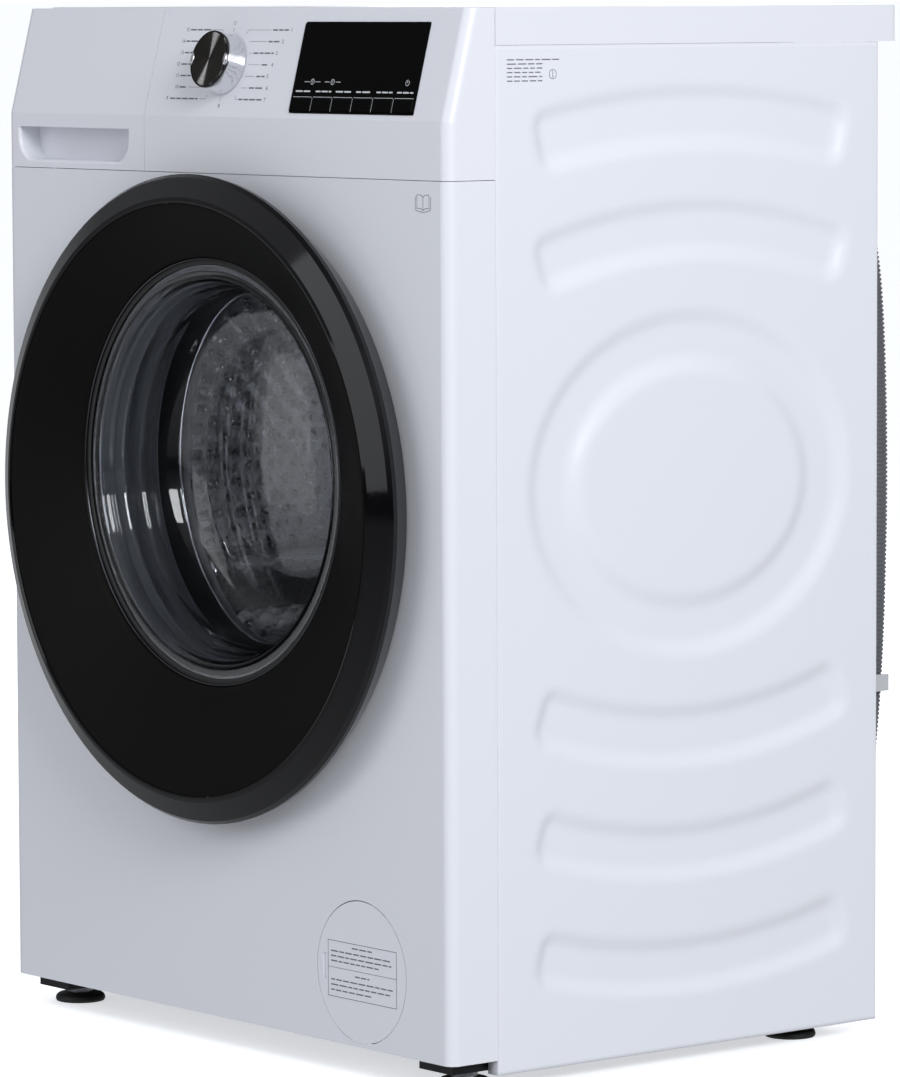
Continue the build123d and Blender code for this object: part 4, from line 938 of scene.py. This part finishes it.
def corrugated_hose():
    """The drain hose: fine corrugations along the route, with smooth cuffs at both ends."""
    line = route_line()
    reach = [0.0]
    for a, b in zip(line, line[1:]):
        reach.append(reach[-1] + (b - a).length)
    total, crests = reach[-1], (0.0, 0.7, 1.0, 0.7)
    count = round(total / HOSE_PITCH) * len(crests)
    rings, here = [], 0
    for i in range(count + 1):
        s = total * i / count
        while here < len(reach) - 2 and reach[here + 1] < s:
            here += 1
        t = (s - reach[here]) / (reach[here + 1] - reach[here])
        centre = line[here].lerp(line[here + 1], t)
        way = (line[min(here + 2, len(line) - 1)] - line[max(here - 1, 0)]).normalized()
        side = Vector((0, 1, 0))
        up = side.cross(way)
        cuff = min(s, total - s) < HOSE_CUFF
        radius = HOSE_R - (0.0001 if cuff else HOSE_GROOVE * (1 - crests[i % len(crests)]))
        if i in (0, count):
            radius -= 0.0012
        rings.append([centre + (side * cos(a) + up * sin(a)) * radius
                      for a in angles(20)])
    piece = place("drain_hose_corrugated", lofted("drain_hose_corrugated", rings), "hose_grey",
                  "cabinet")
    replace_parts(piece, "drain_hose")


corrugated_hose()


# ---- springs and feet ----

COIL_TURNS, COIL_R, WIRE_R = 26, 0.0093, 0.0015
COIL_LOW, COIL_HIGH = 0.6425, 0.7935


def coil_springs():
    """Two tension springs between the cabinet's rails and the tub."""
    steps = COIL_TURNS * 14
    line = []
    for k in range(steps + 1):
        a = 2 * pi * k / 14
        line.append(Vector((COIL_R * cos(a), COIL_R * sin(a),
                            COIL_LOW + (COIL_HIGH - COIL_LOW) * k / steps)))
    rings = []
    for k, centre in enumerate(line):
        way = (line[min(k + 1, steps)] - line[max(k - 1, 0)]).normalized()
        out = Vector((centre.x, centre.y, 0)).normalized()
        up = way.cross(out)
        rings.append([centre + (out * cos(a) + up * sin(a)) * WIRE_R
                      for a in angles(8)])
    for name, x in (("left", -0.215), ("right", 0.215)):
        mesh = lofted(f"spring_{name}", rings)
        mesh.transform(Matrix.Translation((x, FRONT_Y + 0.280, 0)))
        piece = place(f"spring_{name}", mesh, "zinc_steel", None)
        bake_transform(piece)
        if name == "left":
            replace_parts(piece, "suspension_springs")


def levelling_feet():
    """Each foot as a rubber pad with a hexagonal nut and a threaded stem."""
    pad = rounded([(0.0, 0.0002), (0.0195, 0.0002), (0.0205, 0.0), (0.0214, 0.0022),
                   (0.0206, 0.0050), (0.0185, 0.0066), (0.0130, 0.0074), (0.0, 0.0074)], 0.0008)
    nut = rounded([(0.0, 0.0073), (0.0100, 0.0073), (0.0108, 0.0078), (0.0108, 0.0126),
                   (0.0100, 0.0132), (0.0, 0.0132)], 0.0003, steps=2)
    thread = [(0.0, 0.0130)]
    for k in range(30):
        thread += [(0.0050, 0.0130 + 0.0016 * k), (0.0044, 0.0138 + 0.0016 * k)]
    thread += [(0.0, 0.0130 + 0.0016 * 30)]
    for name in ("front_left", "front_right", "rear_left", "rear_right"):
        low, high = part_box(f"foot_{name}")
        at = Matrix.Translation(((low.x + high.x) / 2, (low.y + high.y) / 2, 0))
        piece = turned_piece(f"foot_pad_{name}", pad, 64, at, "black_rubber", f"foot_{name}")
        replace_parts(piece, f"foot_{name}")
        stem = joined(f"foot_stem_{name}", [turned("nut", nut, 6), turned("stem", thread, 32)])
        local_piece(f"foot_stem_{name}", stem, at, "zinc_steel", f"foot_{name}", smooth=False)


coil_springs()
levelling_feet()


# ---- back ----

REAR_FACE = 0.4524  # the back sheet's outer face
# Pressed ribs of the back sheet: centre x, z, then half lengths across and up.
REAR_RIBS = ((-0.200, 0.473, 0.008, 0.120), (0.200, 0.473, 0.008, 0.120),
             (0.0, 0.055, 0.235, 0.008), (-0.020, 0.215, 0.085, 0.008),
             (0.0, 0.725, 0.150, 0.008), (-0.020, 0.130, 0.085, 0.008))
REAR_RING_R, RIB_HALF, RIB_SLOPE, RIB_DEPTH = 0.172, 0.011, 0.007, 0.0035
REAR_HOLE_R = 0.138  # the service opening behind the cover


def rib_press(x, z):
    """How far the back sheet is pressed in here, from 0 to 1."""
    ring = RIB_HALF - abs(hypot(x, z - DRUM_Z) - REAR_RING_R)
    most = smoothstep(0.0, RIB_SLOPE, ring)
    for mid_x, mid_z, half_x, half_z in REAR_RIBS:
        over = (max(0.0, abs(x - mid_x) - half_x + 0.008),
                max(0.0, abs(z - mid_z) - half_z + 0.008))
        most = max(most, smoothstep(0.0, RIB_SLOPE, RIB_HALF - hypot(*over)))
    return most


def rear_sheet():
    """The galvanised back with its pressed ring and ribs."""
    low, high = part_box("rear_panel")
    step = 0.0035
    columns, rows = round((high.x - low.x) / step), round((high.z - low.z) / step)
    verts = []
    for j in range(rows + 1):
        z = low.z + (high.z - low.z) * j / rows
        for i in range(columns + 1):
            x = low.x + (high.x - low.x) * i / columns
            verts.append((x, high.y - RIB_DEPTH * rib_press(x, z), z))
    faces = [(a, d, c, b) for a, b, c, d in weave(rows + 1, columns + 1, ring=False)
             if hypot(verts[a][0], verts[a][2] - DRUM_Z) > REAR_HOLE_R]
    mesh = mesh_of("rear_sheet", verts, faces)
    work = bmesh.new()
    work.from_mesh(mesh)
    bmesh.ops.delete(work, geom=[v for v in work.verts if not v.link_faces], context="VERTS")
    work.to_mesh(mesh)
    work.free()
    piece = place("rear_sheet", mesh, "zinc_steel", "cabinet")
    thicken(piece, 0.0010, -1)
    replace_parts(piece, "rear_panel")


def rear_cover():
    """The access cover: a dished disc with two pressed rings."""
    outline = [(0.0, 0.4526), (0.0, 0.4560), (0.030, 0.4560), (0.035, 0.4546), (0.060, 0.4546),
               (0.066, 0.4566), (0.108, 0.4566), (0.114, 0.4546), (0.138, 0.4543),
               (0.1494, 0.4538), (0.1500, 0.4531), (0.1500, 0.4526)]
    piece = turned_piece("rear_cover_disc", rounded(outline, 0.003), 144, about_drum(),
                         "zinc_steel", "cabinet")
    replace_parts(piece, "rear_access_cover")


def screw_head():
    """A pan head with a six-lobed recess, its seat at local zero."""
    turns = angles(24)
    profile = [(0.0042, 0.0), (0.0043, 0.0006), (0.0039, 0.0016), (0.0030, 0.0022),
               (0.0019, 0.0024)]
    rings = [[(r * cos(a), r * sin(a), h) for a in turns] for r, h in profile]
    lobes = [(a, 0.00155 + 0.00028 * cos(6 * a)) for a in turns]
    rings += [[(r * cos(a), r * sin(a), h) for a, r in lobes] for h in (0.0023, 0.0010)]
    return lofted("screw_head", rings)


def rear_screws():
    """Screws down both edges, along the top and bottom, and round the cover."""
    spots = [(side * 0.2885, z, REAR_FACE) for side in (-1, 1)
             for z in (0.030, 0.185, 0.340, 0.495, 0.650, 0.800)]
    spots += [(x, z, REAR_FACE) for z in (0.026, 0.812) for x in (-0.190, -0.065, 0.065, 0.190)]
    spots += [(0.1435 * cos(a), DRUM_Z + 0.1435 * sin(a), 0.4541)
              for a in (radians(30 + 60 * k) for k in range(6))]
    places = [on_rear(*spot) @ Matrix.Rotation(RNG.uniform(0, 1), 4, "Z") for spot in spots]
    place("rear_screws", joined("rear_screws", [screw_head()] * len(spots), places),
          "zinc_steel", "cabinet", smooth=False)


def inlet_thread():
    """The rounded crests of the water inlet's thread."""
    crests = []
    for d in (0.4545 + 0.0018 * k for k in range(8)):
        crest = rounded([(0.0130, d), (0.01345, d + 0.0004), (0.01345, d + 0.0008),
                         (0.0130, d + 0.0012)], 0.0002, steps=2)
        crests.append(turned("crest", crest, 48))
    local_piece("inlet_thread", joined("inlet_thread", crests), about_drum(0.790, -0.250),
                "black_plastic", "cabinet")


rear_sheet()
rear_cover()
rear_screws()
inlet_thread()


# ---- studio ----

def stage_floor():
    """A pale floor disc with a fine ground texture, larger than any view shows."""
    disc = bmesh.new()
    bmesh.ops.create_circle(disc, cap_ends=True, radius=1500.0, segments=96)
    mesh = bpy.data.meshes.new("floor")
    disc.to_mesh(mesh)
    disc.free()
    mesh.materials.append(MATERIALS["floor_matte"])
    floor = new_object("floor", mesh)
    floor.visible_glossy = False
    floor.visible_diffuse = False


def softbox(name, place_at, aim, size, power):
    light = bpy.data.lights.new(name, "AREA")
    light.shape = "RECTANGLE"
    light.size, light.size_y = size
    light.energy = power
    light.color = (0.95, 0.97, 1.0)
    lamp = new_object(name, light)
    lamp.location = place_at
    lamp.rotation_euler = (Vector(aim) - Vector(place_at)).to_track_quat("-Z", "Y").to_euler()


def studio_world():
    """White for the camera. For light and reflections, a cool dome that dims overhead and at the
    horizon, a brighter patch behind the machine, and light from below as from a pale floor."""
    world = bpy.data.worlds.new("studio")
    bpy.context.scene.world = world
    world.use_nodes = True
    graph = Graph(world.node_tree)
    way = graph.node("ShaderNodeTexCoord").outputs["Generated"]
    up = graph.node("ShaderNodeSeparateXYZ", {0: way}).outputs["Z"]
    overhead = graph.maths("MULTIPLY", graph.ramp(up, 0.0, 0.60, 0.0, 0.86),
                           graph.ramp(up, 0.50, 0.95, 1.0, 0.22))
    away = graph.node("ShaderNodeVectorMath", {0: way, 1: (-0.62, 0.78, 0.0)},
                      operation="DOT_PRODUCT").outputs["Value"]
    behind = graph.ramp(away, 0.2, 0.9, 0.0, 0.8)
    below = graph.maths("MULTIPLY", graph.ramp(up, -0.9, -0.10, 0.95, 0.30),
                        graph.ramp(up, -0.10, -0.07, 1.0, 0.0))
    bright = graph.maths("MAXIMUM", overhead, graph.maths("MAXIMUM", behind, below))
    ray = graph.node("ShaderNodeLightPath")
    dome = graph.node("ShaderNodeBackground", {
        "Color": graph.blend(bright, (0.035, 0.037, 0.043), (0.94, 0.96, 1.0)),
        "Strength": graph.ramp(ray.outputs["Is Glossy Ray"], 0.0, 1.0, 0.95, 0.62)})
    sky = graph.node("ShaderNodeBackground", {"Color": (1.0, 1.0, 1.0, 1)})
    mix = graph.node("ShaderNodeMixShader", {
        0: ray.outputs["Is Camera Ray"], 1: dome.outputs[0], 2: sky.outputs[0]})
    graph.node("ShaderNodeOutputWorld", {0: mix.outputs[0]})


CAMERA_AT = (3.8208, -3.0607, 0.8565)
YAW, PITCH, ROLL = 0.892081, 0.0918929, -0.0040202
LENS = 196.06


def camera():
    """The photograph's viewpoint, from the fitted position and angles."""
    ahead = Vector((-sin(YAW) * cos(PITCH), cos(YAW) * cos(PITCH),
                    -sin(PITCH)))
    right = Vector((cos(YAW), sin(YAW), 0))
    up = right.cross(ahead)
    tilted_right = right * cos(ROLL) + up * sin(ROLL)
    tilted_up = up * cos(ROLL) - right * sin(ROLL)
    data = bpy.data.cameras.new("camera")
    data.lens = LENS
    data.clip_end = 3000
    eye = new_object("camera", data)
    axes = Matrix((tilted_right, tilted_up, -ahead)).transposed()
    eye.matrix_world = Matrix.Translation(CAMERA_AT) @ axes.to_4x4()
    bpy.context.scene.camera = eye


stage_floor()
studio_world()
camera()
softbox("key", (3.9, -1.2, 2.3), (0, 0, 0.45), (1.8, 1.6), 128)
softbox("front", (-0.4, -3.9, 1.6), (0, 0, 0.5), (2.6, 2.4), 26)
softbox("rear", (-2.6, 3.2, 1.7), (0, 0.2, 0.45), (2.0, 2.0), 56)
softbox("strip_left", (-3.65, -3.0, -0.13), (0, -0.2, 0.4), (0.30, 0.55), 0.35)
softbox("strip_low", (-2.2, -3.3, 0.5), (0, -0.2, 0.5), (0.07, 0.8), 4)
bpy.context.scene.view_settings.view_transform = "Standard"
